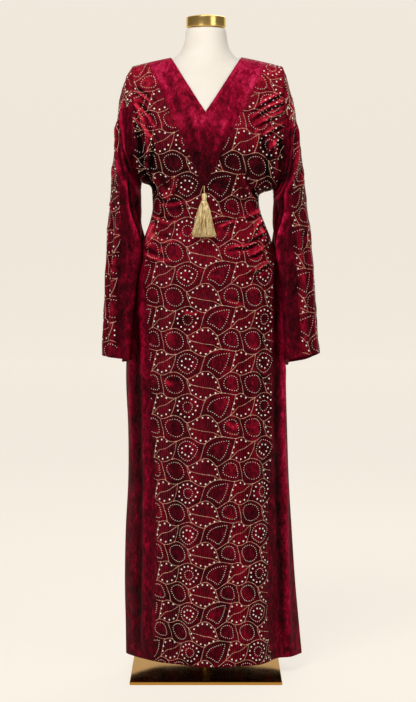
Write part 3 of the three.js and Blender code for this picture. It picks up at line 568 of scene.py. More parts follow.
def rippled(moved: Array, points: Array, ripples: Sequence[tuple[float, float, float]]) -> Array:
    """Add small soft unevennesses to how far the cloth is moved.

    Args:
        moved: how far each place is moved already.
        points: the places in space.
        ripples: for each, the distance over which it changes, how far it reaches to each side, and
            a number that moves it to another part of the noise.

    Returns:
        How far each place is moved.
    """
    for size, height, seed in ripples:
        flat = points.reshape(-1, 3) / size + seed
        found = np.array([noise.noise(Vector(p)) for p in flat])
        moved = moved + height * found.reshape(points.shape[:-1])
    return moved


class BodyShape:
    """The surface of the body's cloth, front and back."""

    edge_drop: float = 1.5  # how late a row drops towards its edges
    full_folds: float = 0.25  # share of the body's depth where the long folds reach their own

    def row_x(self, row: dict[str, Array], across: Array) -> Array:
        """Return x at a place across a row."""
        half = (row["right"] - row["left"]) / 2
        return (row["right"] + row["left"]) / 2 + half * quarter_sine(across)

    def row_z(self, row: dict[str, Array], across: Array) -> Array:
        """Return the height at a place across a row."""
        low = np.where(across < 0, row["low_left"], row["low_right"])
        return row["middle"] + (low - row["middle"]) * np.abs(quarter_sine(across)) ** self.edge_drop

    def bare(self, face: Face, across: Array, rows: Array) -> Array:
        """Return the surface with its folds, and without its creases.

        Args:
            face: front or back.
            across: places across the rows.
            rows: row numbers, shaped alike.

        Returns:
            The points.
        """
        row = BODY.at(rows)
        x, z = self.row_x(row, across), self.row_z(row, across)
        share = np.maximum(0, 1 - quarter_sine(across) ** 2) ** row["turn"]
        middle = row["front"] if face is Face.FRONT else row["back"]
        folds = sum(fold.depth_at(x, z) for fold in FOLDS if fold.face is face)
        depth = row["edge"] + (middle - row["edge"]) * share + folds * np.minimum(1, share / self.full_folds)
        return np.stack([x, face.value * np.maximum(depth, 0), z], axis=-1)

    def across_at(self, rows: Array, x: Array) -> Array:
        """Return the place across a row where it meets x."""
        row = BODY.at(rows)
        half = (row["right"] - row["left"]) / 2
        return np.arcsin(np.clip((x - (row["right"] + row["left"]) / 2) / half, -1, 1)) * 2 / math.pi

    def across_line(self, rows: Array, x_at_height: Line) -> Array:
        """Find where rows meet a line.

        Args:
            rows: row numbers.
            x_at_height: gives the line's x for a height.

        Returns:
            The place across each row.
        """
        across = np.zeros(np.shape(rows))
        for _ in range(6):
            across = self.across_at(rows, x_at_height(self.row_z(BODY.at(rows), across)))
        return across

    def armhole_point(self, side: Side, angle: Array) -> Array:
        """Find points of an armhole.

        Args:
            side: which armhole.
            angle: degrees round it, 0 at the shoulder and positive down the front.

        Returns:
            The points.
        """
        turn = wrapped(angle)
        rows = UNDERARM_ROW * np.abs(turn) / 180
        edge = np.full(np.shape(rows), float(side.value))
        front, back = self.bare(Face.FRONT, edge, rows), self.bare(Face.BACK, edge, rows)
        return np.where((turn > 0)[..., None], front, back)

    def armhole_normal(self, side: Side, angle: Array) -> Array:
        """Find the directions that body and sleeve share along an armhole.

        Args:
            side: which armhole.
            angle: degrees round it.

        Returns:
            The directions.
        """
        step = 2.0
        along = self.armhole_point(side, angle + step) - self.armhole_point(side, angle - step)
        normal = unit(np.cross(np.array([1.0, 0, 0]), along))
        centre = self.armhole_point(side, np.array([0.0, 180.0])).mean(axis=0)
        outwards = self.armhole_point(side, angle) - centre
        return np.where(((normal * outwards).sum(axis=-1) < 0)[..., None], -normal, normal)

    def normal(self, face: Face, across: Array, rows: Array) -> Array:
        """Find outward directions, turned at a fold so that front and back keep to their sides.

        Args:
            face: front or back.
            across: places across the rows.
            rows: row numbers, shaped alike.

        Returns:
            The directions.
        """
        inside, step = 0.004, 1e-3
        a = np.clip(across, -1 + inside, 1 - inside)
        b = np.maximum(rows, inside)
        a0, a1 = np.maximum(a - step, -1), np.minimum(a + step, 1)
        b0, b1 = np.maximum(b - step, 0), np.minimum(b + step, HEM_ROW)
        along_a = self.bare(face, a1, b) - self.bare(face, a0, b)
        along_b = self.bare(face, a, b1) - self.bare(face, a, b0)
        normal = unit(np.cross(along_a, along_b)) * face.value
        at_side = np.abs(across) >= 1
        normal[..., 1] = np.where((rows < inside) | at_side, 0, normal[..., 1])
        normal = unit(normal)
        for side in Side:
            at_armhole = at_side & (np.sign(across) == side.value) & (rows <= UNDERARM_ROW)
            if at_armhole.any():
                angle = -face.value * 180 * rows[at_armhole] / UNDERARM_ROW
                normal[at_armhole] = self.armhole_normal(side, angle)
        return normal

    def creased(self, face: Face, across: Array, rows: Array) -> tuple[Array, Array, Array]:
        """Find the outer surface with its creases.

        Args:
            face: front or back.
            across: places across the rows.
            rows: row numbers, shaped alike.

        Returns:
            The points, the outward directions, and how far the creases move each point.
        """
        points = self.bare(face, across, rows)
        normals = self.normal(face, across, rows)
        row = BODY.at(rows)
        from_edge = (row["right"] - row["left"]) / 2 * (1 - np.abs(quarter_sine(across)))
        fade = smoothstep(from_edge, 0, EDGE_FADE) * smoothstep(rows, 0, SHOULDER_FADE)
        creases = FRONT_CREASES if face is Face.FRONT else BACK_CREASES
        moved, raised = crease_all(creases, points[..., 0], points[..., 2])
        moved = rippled(moved, points, BODY_RIPPLES)
        return points + normals * (moved * fade)[..., None], normals, raised * fade


SHAPE = BodyShape()


@dataclass(frozen=True)
class SleeveShape:
    """The surface of a sleeve's cloth."""

    side: Side
    round_mm: float = 1.05  # millimetres round the sleeve in a degree, about

    def bare(self, angle: Array, ring: Array) -> Array:
        """Find the sleeve's surface, without creases.

        Args:
            angle: degrees from the outer fold, positive round the front.
            ring: ring numbers.

        Returns:
            The points.
        """
        angle, ring = np.broadcast_arrays(np.asarray(angle, float), np.asarray(ring, float))
        first = np.maximum(ring, 1)
        r = SLEEVES[self.side].at(first - 1)
        turn = np.radians(angle)
        along = (1 + np.cos(turn)) / 2
        depth = np.sin(turn) * np.where(angle > 0, r["front"], r["back"])
        top, bottom = (SHAPE.armhole_point(self.side, np.array(a))[0] for a in (0.0, 180.0))
        seam = SHAPE.armhole_point(self.side, angle)
        bowed = np.abs(seam[..., 0] - bottom - (top - bottom) * along)
        bow = bowed * np.clip(1 - (first / STRAIGHT_RING) ** 2, 0, 1)
        lapping = np.clip((np.abs(angle) - LAP_FROM) / (LAP_TO - LAP_FROM), 0, 1)
        lap = r["wrap"] * np.sin(lapping * math.pi) ** 2
        x = self.side.value * (r["inner_x"] + (r["outer_x"] - r["inner_x"]) * along + bow - lap)
        z = r["inner_z"] + (r["outer_z"] - r["inner_z"]) * along + r["dip"] * np.sin(turn)
        point = np.stack([x, -depth, z], axis=-1)
        seam = seam + np.array([self.side.value * SEAM, 0, 0])
        share = np.minimum(ring, 1)[..., None]
        return seam * (1 - share) + point * share

    def normal(self, angle: Array, ring: Array) -> Array:
        """Find the outward directions of the sleeve's surface.

        Args:
            angle: degrees from the outer fold.
            ring: ring numbers, shaped alike.

        Returns:
            The directions.
        """
        inside, step = 0.02, 0.01
        a = np.where(np.abs(angle) < inside, inside, np.clip(angle, -180 + inside, 180 - inside))
        low, high = np.maximum(ring - step, 0), np.minimum(ring + step, CUFF_RING)
        along_a = self.bare(a + step, ring) - self.bare(a - step, ring)
        along_b = self.bare(a, high) - self.bare(a, low)
        normal = unit(np.cross(along_a, along_b))
        centre = (self.bare(np.zeros(ring.shape), ring) + self.bare(np.full(ring.shape, 180.0), ring)) / 2
        outwards = ((self.bare(a, ring) - centre) * normal).sum(axis=-1)
        normal = np.where((outwards < 0)[..., None], -normal, normal)
        at_seam = ring <= 0
        if at_seam.any():
            normal[at_seam] = SHAPE.armhole_normal(self.side, angle[at_seam])
        return normal

    def creased(self, angle: Array, ring: Array) -> tuple[Array, Array, Array]:
        """Find the outer surface with its creases.

        Args:
            angle: degrees from the outer fold.
            ring: ring numbers, shaped alike.

        Returns:
            The points, the outward directions, and how far the creases move each point.
        """
        turn = wrapped(angle)
        points, normals = self.bare(turn, ring), self.normal(turn, ring)
        fade = smoothstep(ring, 0, ARMHOLE_FADE)
        moved, raised = crease_all(SLEEVE_CREASES[self.side], turn * self.round_mm, points[..., 2])
        moved = rippled(moved, points, SLEEVE_RIPPLES)
        return points + normals * (moved * fade)[..., None], normals, raised * fade

    def down_the_fold(self, rings: Array) -> Array:
        """Return the distance down the outer fold from the first of some rings to each."""
        return add_up(lengths(self.bare(np.zeros(len(rings)), rings)))


# ---- Seam lines of the body ----

YOKE_HEIGHT = float(BODY.at(np.array(float(YOKE_TIP_ROW)))["middle"])
NECK_BOTTOM = float(BODY.at(np.array(float(NECK_TIP_ROW)))["middle"])


def yoke_line(start: float) -> Line:
    """Return the yoke's seam from its place on the shoulder, as a place across for a row."""
    return lambda rows: SHAPE.across_line(
        rows, lambda z: start + (YOKE_TIP_X - start) * (YOKE_TOP - z) / (YOKE_TOP - YOKE_HEIGHT)
    )


def neck_line(side: Side) -> Line:
    """Find one edge of the V neck.

    Args:
        side: which edge.

    Returns:
        Its place across for a row.
    """
    first = np.zeros(1)
    top = SHAPE.row_z(BODY.at(first), SHAPE.across_at(first, np.full(1, NECK_HALF_WIDTH)))[0]

    def x_at(z: Array) -> Array:
        """Return x for a height."""
        share = np.clip((z - NECK_BOTTOM) / (top - NECK_BOTTOM), 0, 1)
        return NECK_TIP_X + (side.value * NECK_HALF_WIDTH - NECK_TIP_X) * share**NECK_BOW

    return lambda rows: SHAPE.across_line(rows, x_at)


def back_neck(side: Side) -> Line:
    """Find one half of the back neckline.

    Args:
        side: which half.

    Returns:
        Its place across for a row.
    """

    def line(rows: Array) -> Array:
        """Return the place across each row."""
        share = np.sqrt(np.maximum(0, 1 - (rows / BACK_NECK_ROW) ** 2))
        return SHAPE.across_at(rows, side.value * NECK_HALF_WIDTH * share)

    return line


def middle_line(x: float) -> Line:
    """Return a line at the same x all the way down."""
    return lambda rows: SHAPE.across_at(rows, np.full(np.shape(rows), x))


def panel_line(name: str) -> Line:
    """Return a side seam of the printed front, by its column's name."""
    return lambda rows: SHAPE.across_at(rows, BODY.at(rows)[name])


def edge_line(side: Side) -> Line:
    """Return an edge of the body."""
    return lambda rows: np.full(np.shape(rows), float(side.value))


def down_the_front(rows: Array) -> Array:
    """Return the distance down the middle of the front from the first of some rows to each."""
    row = BODY.at(rows)
    return add_up(np.hypot(np.diff(row["middle"]), np.diff(row["front"])))


def even_rows(first: float, last: float, spacing: float) -> Array:
    """Space rows about evenly down the middle of the body.

    Args:
        first: first row number.
        last: last row number.
        spacing: distance between two of them.

    Returns:
        The row numbers.
    """
    dense = np.linspace(first, last, 1200)
    run = down_the_front(dense)
    return np.interp(np.linspace(0, run[-1], max(round(run[-1] / spacing), 2) + 1), run, dense)


# ---- Cloth as a wall ----


@dataclass
class ClothWall:
    """Patches of one piece of cloth, closed into a wall with an inner layer and edges."""

    patches: list[tuple[Array, ...]] = field(default_factory=list)
    count: int = 0

    def patch(self, points: Array, normals: Array, raised: Array, marks: Array | None = None) -> None:
        """Add a patch of rows of points.

        Args:
            points: rows x columns x 3.
            normals: outward directions, of the same shape.
            raised: how far each point stands out from the smooth cloth; the velvet paints light and shade
                from it.
            marks: where the print lies, kept as another attribute.
        """
        rows, columns = points.shape[:2]
        ids = np.arange(rows * columns).reshape(rows, columns)
        quads = np.stack([ids[:-1, :-1], ids[1:, :-1], ids[1:, 1:], ids[:-1, 1:]], axis=-1).reshape(-1, 4)
        flat, out = points.reshape(-1, 3), normals.reshape(-1, 3)
        turn = np.cross(flat[quads[:, 2]] - flat[quads[:, 0]], flat[quads[:, 3]] - flat[quads[:, 1]])
        if (turn * out[quads[:, 0]]).sum() < 0:
            quads = quads[:, ::-1]
        marks = np.zeros(len(flat)) if marks is None else marks.reshape(-1)
        self.patches.append((flat, out, marks, raised.reshape(-1), quads + self.count))
        self.count += len(flat)

    def build(self, name: str) -> tuple[Object, float]:
        """Close the wall and make its object.

        Args:
            name: the piece's name.

        Returns:
            The object, and the area of its outer surface in square metres.
        """
        points, normals, marks, raised, quads = (np.concatenate(part) for part in zip(*self.patches))
        keys = np.round(points * MERGES_PER_MM).astype(np.int64)
        _, first, same = np.unique(keys, axis=0, return_index=True, return_inverse=True)
        points, normals = points[first], normals[first]
        quads = same.reshape(-1)[quads]
        total = len(points)
        outer = []
        for quad in quads.tolist():
            corners = [c for i, c in enumerate(quad) if c != quad[i - 1]]
            if len(corners) >= 3 and len(set(corners)) == len(corners):
                outer.append(corners)
        directed = {(f[i - 1], f[i]) for f in outer for i in range(len(f))}
        rim = [(b, a, a + total, b + total) for a, b in directed if (b, a) not in directed]
        faces = outer + [[c + total for c in reversed(f)] for f in outer] + rim
        inner = points - normals * WALL
        obj = mesh_object(name, np.vstack([points, inner]), faces)
        mesh = obj.data
        for title, value in (("print", marks), ("raised", raised)):
            attribute = mesh.attributes.new(title, "FLOAT", "POINT")
            attribute.data.foreach_set("value", np.tile(value[first], 2).astype(np.float32))
        mesh.set_sharp_from_angle(angle=math.radians(CLOTH_DEGREES))
        area = sum(mesh.polygons[i].area for i in range(len(outer)))
        return obj, area


def link_object(name: str, data: ID) -> Object:
    """Return a new object with this data, linked to the scene."""
    obj = bpy.data.objects.new(name, data)
    bpy.context.scene.collection.objects.link(obj)
    return obj


def mesh_object(
    name: str, points: Array, faces: Sequence[Sequence[int]] = (), edges: Sequence[tuple[int, int]] = ()
) -> Object:
    """Make a smooth-shaded object from points in millimetres.

    Args:
        name: its name.
        points: the vertices.
        faces: their numbers, face by face.
        edges: their numbers, edge by edge, where it has no faces.

    Returns:
        The object, linked to the scene.
    """
    mesh = bpy.data.meshes.new(name)
    mesh.from_pydata((points * METRE).tolist(), list(edges), [list(f) for f in faces])
    if len(faces):
        mesh.shade_smooth()
    return link_object(name, mesh)


# ---- Materials ----


def connect(node: Node, links: dict) -> None:
    """Set a node's inputs.

    Args:
        node: the node.
        links: a value or another node's output for each input, by its name or number.
    """
    for name, value in links.items():
        if isinstance(value, NodeSocket):
            node.id_data.links.new(value, node.inputs[name])
        else:
            node.inputs[name].default_value = value


def add_node(
    tree: NodeTree,
    kind: str,
    links: dict | None = None,
    stops: Sequence[tuple[float, str]] = (),
    **settings: object,
) -> Node:
    """Add a node with its settings, values and links.

    Args:
        tree: where it goes.
        kind: the node's type.
        links: a value or another node's output for each input, by its name or number.
        stops: a colour ramp's places and their hex colours.
        settings: properties of the node.

    Returns:
        The node.
    """
    node = tree.nodes.new(kind)
    for name, value in settings.items():
        setattr(node, name, value)
    connect(node, links or {})
    for place, _ in stops[2:]:
        node.color_ramp.elements.new(place)
    for element, (place, colour) in zip(node.color_ramp.elements if stops else (), stops):
        element.position, element.color = place, linear(colour)
    return node


def fresh_material(name: str) -> tuple[Material, Node, NodeSocket, Callable]:
    """Start a material.

    Args:
        name: its name.

    Returns:
        The material, its main shader, its object coordinates, and what adds a node to it.
    """
    material = bpy.data.materials.new(name)
    material.use_nodes = True
    add = partial(add_node, material.node_tree)
    shader = next(n for n in material.node_tree.nodes if n.type == "BSDF_PRINCIPLED")
    return material, shader, add("ShaderNodeTexCoord").outputs["Object"], add


@dataclass(frozen=True)
class CrushedVelvet:
    """Viscose velvet pressed while wet.

    Its pile is crushed into feathery patches of lighter and darker crimson, drawn from noise. Light
    and shade are also painted into its colour: painted light where the cloth faces up and on the
    ridges of its creases, a painted highlight on the brightest ridges, and painted shade, nearly
    black, in troughs and on undersides.
    """

    name: str
    # Colours from dark to bright: the first is nearly black, painted shade in troughs and on undersides as
    # well as the darkest patches; bright is painted light where the cloth faces up as well as the lighter
    # patches; the last is a painted highlight on the ridges.
    dark: str
    middle: str
    bright: str
    painted_highlight: str
    tone_and_light_stops: tuple[float, ...] = (0.14, 0.44, 0.68, 0.96)  # where on the ramp each colour sits, from painted shade to painted highlight
    patch_mm: float = 26.0
    patch_swirl: float = 1.4
    crush_mm: float = 6.5
    crush_swirl: float = 0.8
    crushed: float = 0.55  # share of the small patches in the pattern
    streak: float = 0.55  # lengthwise stretch of the patches
    top_light_share: float = 0.45  # share of painted top light in the colour: lighter where the cloth faces up, darker on undersides
    crease_light_per_mm: float = 0.058  # painted light and shade: how much brighter the colour is for each millimetre that a ridge stands out, and darker where a trough sinks in
    bump_mm: float = 1.4
    pile_mm: float = 1.2
    sheen: float = 0.14
    sheen_colour: str = "B00018"
    roughness: float = 0.6
    printed: bool = False
    ground_dark: str = "120206"
    ground_bright: str = "8E0E24"
    ground_shade: float = 0.22  # how much darker the pile looks between the leaves than inside them
    hatch_cover: float = 0.75
    hatch_broken: float = 0.64  # share of the velvet's noise tone, with its painted light and shade, in how bright the hatch is
    hatch_mm: float = 4.6  # the printed hatch is about 1 mm apart; it is drawn as coarse as it shows

    def build(self) -> Material:
        """Return the material."""
        material, shader, place, add = fresh_material(self.name)
        stretch = {"Vector": place, "Scale": (1.0, 1.0, self.streak)}
        lengthwise = add("ShaderNodeMapping", stretch).outputs["Vector"]
        feathery = {"Vector": lengthwise, "Detail": 6.0, "Roughness": 0.72}
        patches = [
            add(
                "ShaderNodeTexNoise", {**feathery, "Scale": 1 / (size * METRE), "Distortion": swirl}
            ).outputs["Fac"]
            for size, swirl in ((self.patch_mm, self.patch_swirl), (self.crush_mm, self.crush_swirl))
        ]
        nap = add(
            "ShaderNodeMix", {"Factor": self.crushed, "A": patches[0], "B": patches[1]}, data_type="FLOAT"
        ).outputs["Result"]
        spread = add(
            "ShaderNodeMapRange", {"Value": nap, "From Min": 0.35, "From Max": 0.65}
        ).outputs["Result"]
        # Painted top light: the colour is lighter where the cloth faces up and darker where it faces down, as
        # if lit from above.
        facing = add("ShaderNodeNewGeometry").outputs["Normal"]
        upward = add("ShaderNodeSeparateXYZ", {"Vector": facing}).outputs["Z"]
        painted_top_light = add(
            "ShaderNodeMapRange", {"Value": upward, "From Min": -0.22, "From Max": 0.5}
        ).outputs["Result"]
        tone_and_top_light = add(
            "ShaderNodeMix", {"Factor": self.top_light_share, "A": spread, "B": painted_top_light}, data_type="FLOAT"
        ).outputs["Result"]
        # Painted light and shade on the creases: the colour is lighter on ridges and darker, down to nearly
        # black, in troughs.
        raised = add("ShaderNodeAttribute", attribute_name="raised").outputs["Fac"]
        tone_and_painted_light = add(
            "ShaderNodeMath", {0: raised, 1: self.crease_light_per_mm, 2: tone_and_top_light}, operation="MULTIPLY_ADD"
        ).outputs["Value"]
        # The ramp runs from painted shade through the middle tone to painted light and a painted highlight.
        stops = tuple(zip(self.tone_and_light_stops, (self.dark, self.middle, self.bright, self.painted_highlight)))
        colour = add("ShaderNodeValToRGB", {"Fac": tone_and_painted_light}, stops).outputs["Color"]
        if self.printed:
            colour = self._print(add, place, colour, tone_and_painted_light)
        crush = add(
            "ShaderNodeBump", {"Height": nap, "Strength": 1.0, "Distance": self.bump_mm * METRE}
        ).outputs["Normal"]
        pile = add(
            "ShaderNodeTexNoise", {"Vector": place, "Scale": 1 / (self.pile_mm * METRE), "Detail": 2.0}
        ).outputs["Fac"]
        fine = add(
            "ShaderNodeBump", {"Height": pile, "Strength": 0.4, "Distance": 0.2 * METRE, "Normal": crush}
        ).outputs["Normal"]
        connect(shader, {
            "Base Color": colour,
            "Normal": fine,
            "Roughness": self.roughness,
            "Specular IOR Level": 0.04,
            "Sheen Weight": self.sheen,
            "Sheen Roughness": 0.3,
            "Sheen Tint": linear(self.sheen_colour),
        })
        return material

    def _print(self, add: Callable, place: NodeSocket, colour: NodeSocket, tone_and_painted_light: NodeSocket) -> NodeSocket:
        """Lay the dull glitter hatch of the veined leaves over the ground.

        Args:
            add: what adds a node to the material.
            place: object coordinates.
            colour: the velvet's own colour.
            tone_and_painted_light: the velvet's noise tone with its painted light and shade.

        Returns:
            The colour of the printed velvet.
        """
        mark = add("ShaderNodeAttribute", attribute_name="print").outputs["Fac"]
        lines = add(
            "ShaderNodeTexWave",
            {"Vector": place, "Scale": WAVE / (self.hatch_mm * METRE), "Distortion": 3.4, "Detail": 2.0},
            bands_direction="X",
        ).outputs["Fac"]
        # The hatch takes on the velvet's painted light and shade: brighter on upward faces and ridges, darker
        # in troughs.
        hatch = add(
            "ShaderNodeMix", {"Factor": self.hatch_broken, "A": lines, "B": tone_and_painted_light}, data_type="FLOAT"
        ).outputs["Result"]
        glitter = add(
            "ShaderNodeValToRGB", {"Fac": hatch}, ((0.25, self.ground_dark), (0.8, self.ground_bright))
        ).outputs["Color"]
        ground, cover = (
            add(
                "ShaderNodeMapRange", {"Value": mark, "From Min": low, "From Max": high, "To Max": most}
            ).outputs["Result"]
            for low, high, most in ((-1.0, 0.0, self.ground_shade), (0.3, 0.7, self.hatch_cover))
        )
        for share, laid in ((ground, linear(self.dark)), (cover, glitter)):
            mix = add("ShaderNodeMix", {"Factor": share}, data_type="RGBA")
            first, second = (k for k, i in enumerate(mix.inputs) if i.type == "RGBA")
            connect(mix, {first: colour, second: laid})
            colour = next(o for o in mix.outputs if o.type == "RGBA")
        return colour


@dataclass(frozen=True)
class GlitterPaste:
    """Copper-gold glitter printed through a screen: half metallic, broken up by its flakes."""

    name: str = "glitter_paste_screen_printed"
    dark: str = "A06A54"
    bright: str = "FFCFB0"
    flake_mm: float = 1.4

    def build(self) -> Material:
        """Return the material."""
        material, shader, place, add = fresh_material(self.name)
        flakes = add(
            "ShaderNodeTexVoronoi", {"Vector": place, "Scale": 1 / (self.flake_mm * METRE)}
        ).outputs["Color"]
        value = add("ShaderNodeRGBToBW", {"Color": flakes}).outputs["Val"]
        stops = ((0.2, self.dark), (0.7, self.bright))
        colour = add("ShaderNodeValToRGB", {"Fac": value}, stops).outputs["Color"]
        bump = add("ShaderNodeBump", {"Height": value, "Strength": 0.6, "Distance": 0.3 * METRE})
        normal = bump.outputs["Normal"]
        connect(shader, {"Base Color": colour, "Normal": normal, "Metallic": 0.35, "Roughness": 0.4})
        return material


@dataclass(frozen=True)
class PearlBead:
    """Cream resin half-beads with a soft pearl gloss."""

    name: str
    colour: str = "FFF6E4"
    shade: str = "F0D8B0"
    cloud_mm: float = 9.0

    def build(self) -> Material:
        """Return the material."""
        material, shader, place, add = fresh_material(self.name)
        clouds = {"Vector": place, "Scale": 1 / (self.cloud_mm * METRE)}
        spread = add("ShaderNodeTexNoise", clouds).outputs["Fac"]
        stops = ((0.35, self.shade), (0.55, self.colour))
        colour = add("ShaderNodeValToRGB", {"Fac": spread}, stops).outputs["Color"]
        connect(shader, {"Base Color": colour, "Roughness": 0.25, "Coat Weight": 0.4})
        return material


@dataclass(frozen=True)
class RayonThread:
    """Spun rayon tassel thread: silky strands that shine along their length."""

    name: str = "rayon_thread_spun"
    dark: str = "9E6C26"
    bright: str = "FFEBB0"
    sheen_colour: str = "FFF0C8"
    pair_mm: float = 3.4  # spacing of every second strand, the finest that shows

    def build(self) -> Material:
        """Return the material."""
        material, shader, place, add = fresh_material(self.name)
        lengthwise = {"Vector": place, "Scale": (1.0, 1.0, 0.05)}
        along = add("ShaderNodeMapping", lengthwise).outputs["Vector"]
        strands = add(
            "ShaderNodeTexNoise", {"Vector": along, "Scale": 1 / (self.pair_mm * METRE), "Detail": 2.0}
        ).outputs["Fac"]
        stops = ((0.32, self.dark), (0.62, self.bright))
        colour = add("ShaderNodeValToRGB", {"Fac": strands}, stops).outputs["Color"]
        bump = add("ShaderNodeBump", {"Height": strands, "Strength": 0.4, "Distance": 0.2 * METRE})
        connect(shader, {
            "Base Color": colour,
            "Normal": bump.outputs["Normal"],
            "Roughness": 0.45,
            "Sheen Weight": 0.3,
            "Sheen Tint": linear(self.sheen_colour),
        })
        return material


@dataclass(frozen=True)
class PolishedBrass:
    """Brass plated and buffed to a mirror, with the fine marks of the buffing wheel."""

    name: str
    colour: str = "F2CB7C"
    roughness: float = 0.2
    edge: str = "FFF2D0"  # tint of what shines at a glancing angle
    smudge: float = 0.06  # how much rougher it is where it was handled
    smudge_mm: float = 45.0
    mark_mm: float = 1.5
    mark_depth: float = 0.08

    def build(self) -> Material:
        """Return the material."""
        material, shader, place, add = fresh_material(self.name)
        smudges = add(
            "ShaderNodeTexNoise", {"Vector": place, "Scale": 1 / (self.smudge_mm * METRE), "Detail": 4.0}
        ).outputs["Fac"]
        rough = add(
            "ShaderNodeMapRange",
            {
                "Value": smudges,
                "From Min": 0.35,
                "From Max": 0.7,
                "To Min": self.roughness,
                "To Max": self.roughness + self.smudge,
            },
        ).outputs["Result"]
        wheel = {"Vector": place, "Scale": (0.15, 0.15, 1.0)}
        marks = add("ShaderNodeMapping", wheel).outputs["Vector"]
        buffing = add(
            "ShaderNodeTexNoise", {"Vector": marks, "Scale": 1 / (self.mark_mm * METRE), "Detail": 2.0}
        ).outputs["Fac"]
        bump = add(
            "ShaderNodeBump", {"Height": buffing, "Strength": self.mark_depth, "Distance": 0.1 * METRE}
        )
        connect(shader, {
            "Base Color": linear(self.colour),
            "Roughness": rough,
            "Normal": bump.outputs["Normal"],
            "Metallic": 1.0,
            "Specular Tint": linear(self.edge),
        })
        return material


@dataclass(frozen=True)
class CottonJersey:
    """Ivory cotton jersey pulled smooth over the form: matt, with fine knitted ribs."""

    name: str = "cotton_jersey_knitted"
    colour: str = "F5EFE4"
    shade: str = "F2EADC"
    rib_mm: float = 1.6
    cloud_mm: float = 60.0

    def build(self) -> Material:
        """Return the material."""
        material, shader, place, add = fresh_material(self.name)
        ribs = add(
            "ShaderNodeTexWave",
            {"Vector": place, "Scale": WAVE / (self.rib_mm * METRE), "Distortion": 0.6},
            bands_direction="X",
        ).outputs["Fac"]
        clouds = {"Vector": place, "Scale": 1 / (self.cloud_mm * METRE)}
        cloudy = add("ShaderNodeTexNoise", clouds).outputs["Fac"]
        stops = ((0.35, self.shade), (0.6, self.colour))
        colour = add("ShaderNodeValToRGB", {"Fac": cloudy}, stops).outputs["Color"]
        bump = add("ShaderNodeBump", {"Height": ribs, "Strength": 0.25, "Distance": 0.2 * METRE})
        normal = bump.outputs["Normal"]
        connect(shader, {"Base Color": colour, "Normal": normal, "Roughness": 0.85, "Sheen Weight": 0.2})
        return material


# ---- Geometry Nodes ----


def tree_inputs(
    tree: NodeTree, *sockets: tuple[str, str]
) -> tuple[bpy_prop_collection, list[str]]:
    """Give a Geometry Nodes tree its inputs and its output.

    Args:
        tree: the tree.
        sockets: name and kind of each input.

    Returns:
        The inputs as the tree's nodes read them, and their identifiers.
    """
    identifiers = [
        tree.interface.new_socket(name, in_out="INPUT", socket_type=f"NodeSocket{kind}").identifier
        for name, kind in sockets
    ]
    tree.interface.new_socket("Piece", in_out="OUTPUT", socket_type="NodeSocketGeometry")
    return add_node(tree, "NodeGroupInput").outputs, identifiers


def end_tree(tree: NodeTree, made: NodeSocket, material: Material) -> None:
    """Make a tree's shapes real, give them a material and send them to its output.

    Args:
        tree: the tree.
        made: the shapes.
        material: their material.
    """
    real = add_node(tree, "GeometryNodeRealizeInstances", {"Geometry": made})
    dressed = add_node(
        tree, "GeometryNodeSetMaterial", {"Geometry": real.outputs["Geometry"], "Material": material}
    )
    add_node(tree, "NodeGroupOutput", {"Piece": dressed.outputs["Geometry"]})


class ThreadTree:
    """Geometry Nodes that turn a mesh of edges into round threads or printed lines."""

    def __init__(self, material: Material) -> None:
        """Build the tree for one material."""
        self.tree = bpy.data.node_groups.new("threads_along_edges", "GeometryNodeTree")
        given, (_, self.radius, self.sides) = tree_inputs(
            self.tree, ("Edges", "Geometry"), ("Radius", "Float"), ("Sides", "Int")
        )
        curve = add_node(self.tree, "GeometryNodeMeshToCurve", {"Mesh": given["Edges"]})
        circle = {"Resolution": given["Sides"], "Radius": given["Radius"]}
        ring = add_node(self.tree, "GeometryNodeCurvePrimitiveCircle", circle)
        tube = add_node(
            self.tree,
            "GeometryNodeCurveToMesh",
            {"Curve": curve.outputs["Curve"], "Profile Curve": ring.outputs["Curve"], "Fill Caps": True},
        )
        end_tree(self.tree, tube.outputs["Mesh"], material)

    def run(self, name: str, paths: Sequence[Array], radius: float, sides: int) -> Object:
        """Make threads along paths.

        Args:
            name: the piece's name.
            paths: the paths' points, in millimetres.
            radius: the threads' radius.
            sides: how many sides each has.

        Returns:
            The piece, as a plain mesh.
        """
        edges, start = [], 0
        for path in paths:
            edges += [(start + i, start + i + 1) for i in range(len(path) - 1)]
            start += len(path)
        obj = mesh_object(name, np.vstack(paths), edges=edges)
        return bake(obj, self.tree, {self.radius: radius * METRE, self.sides: sides})


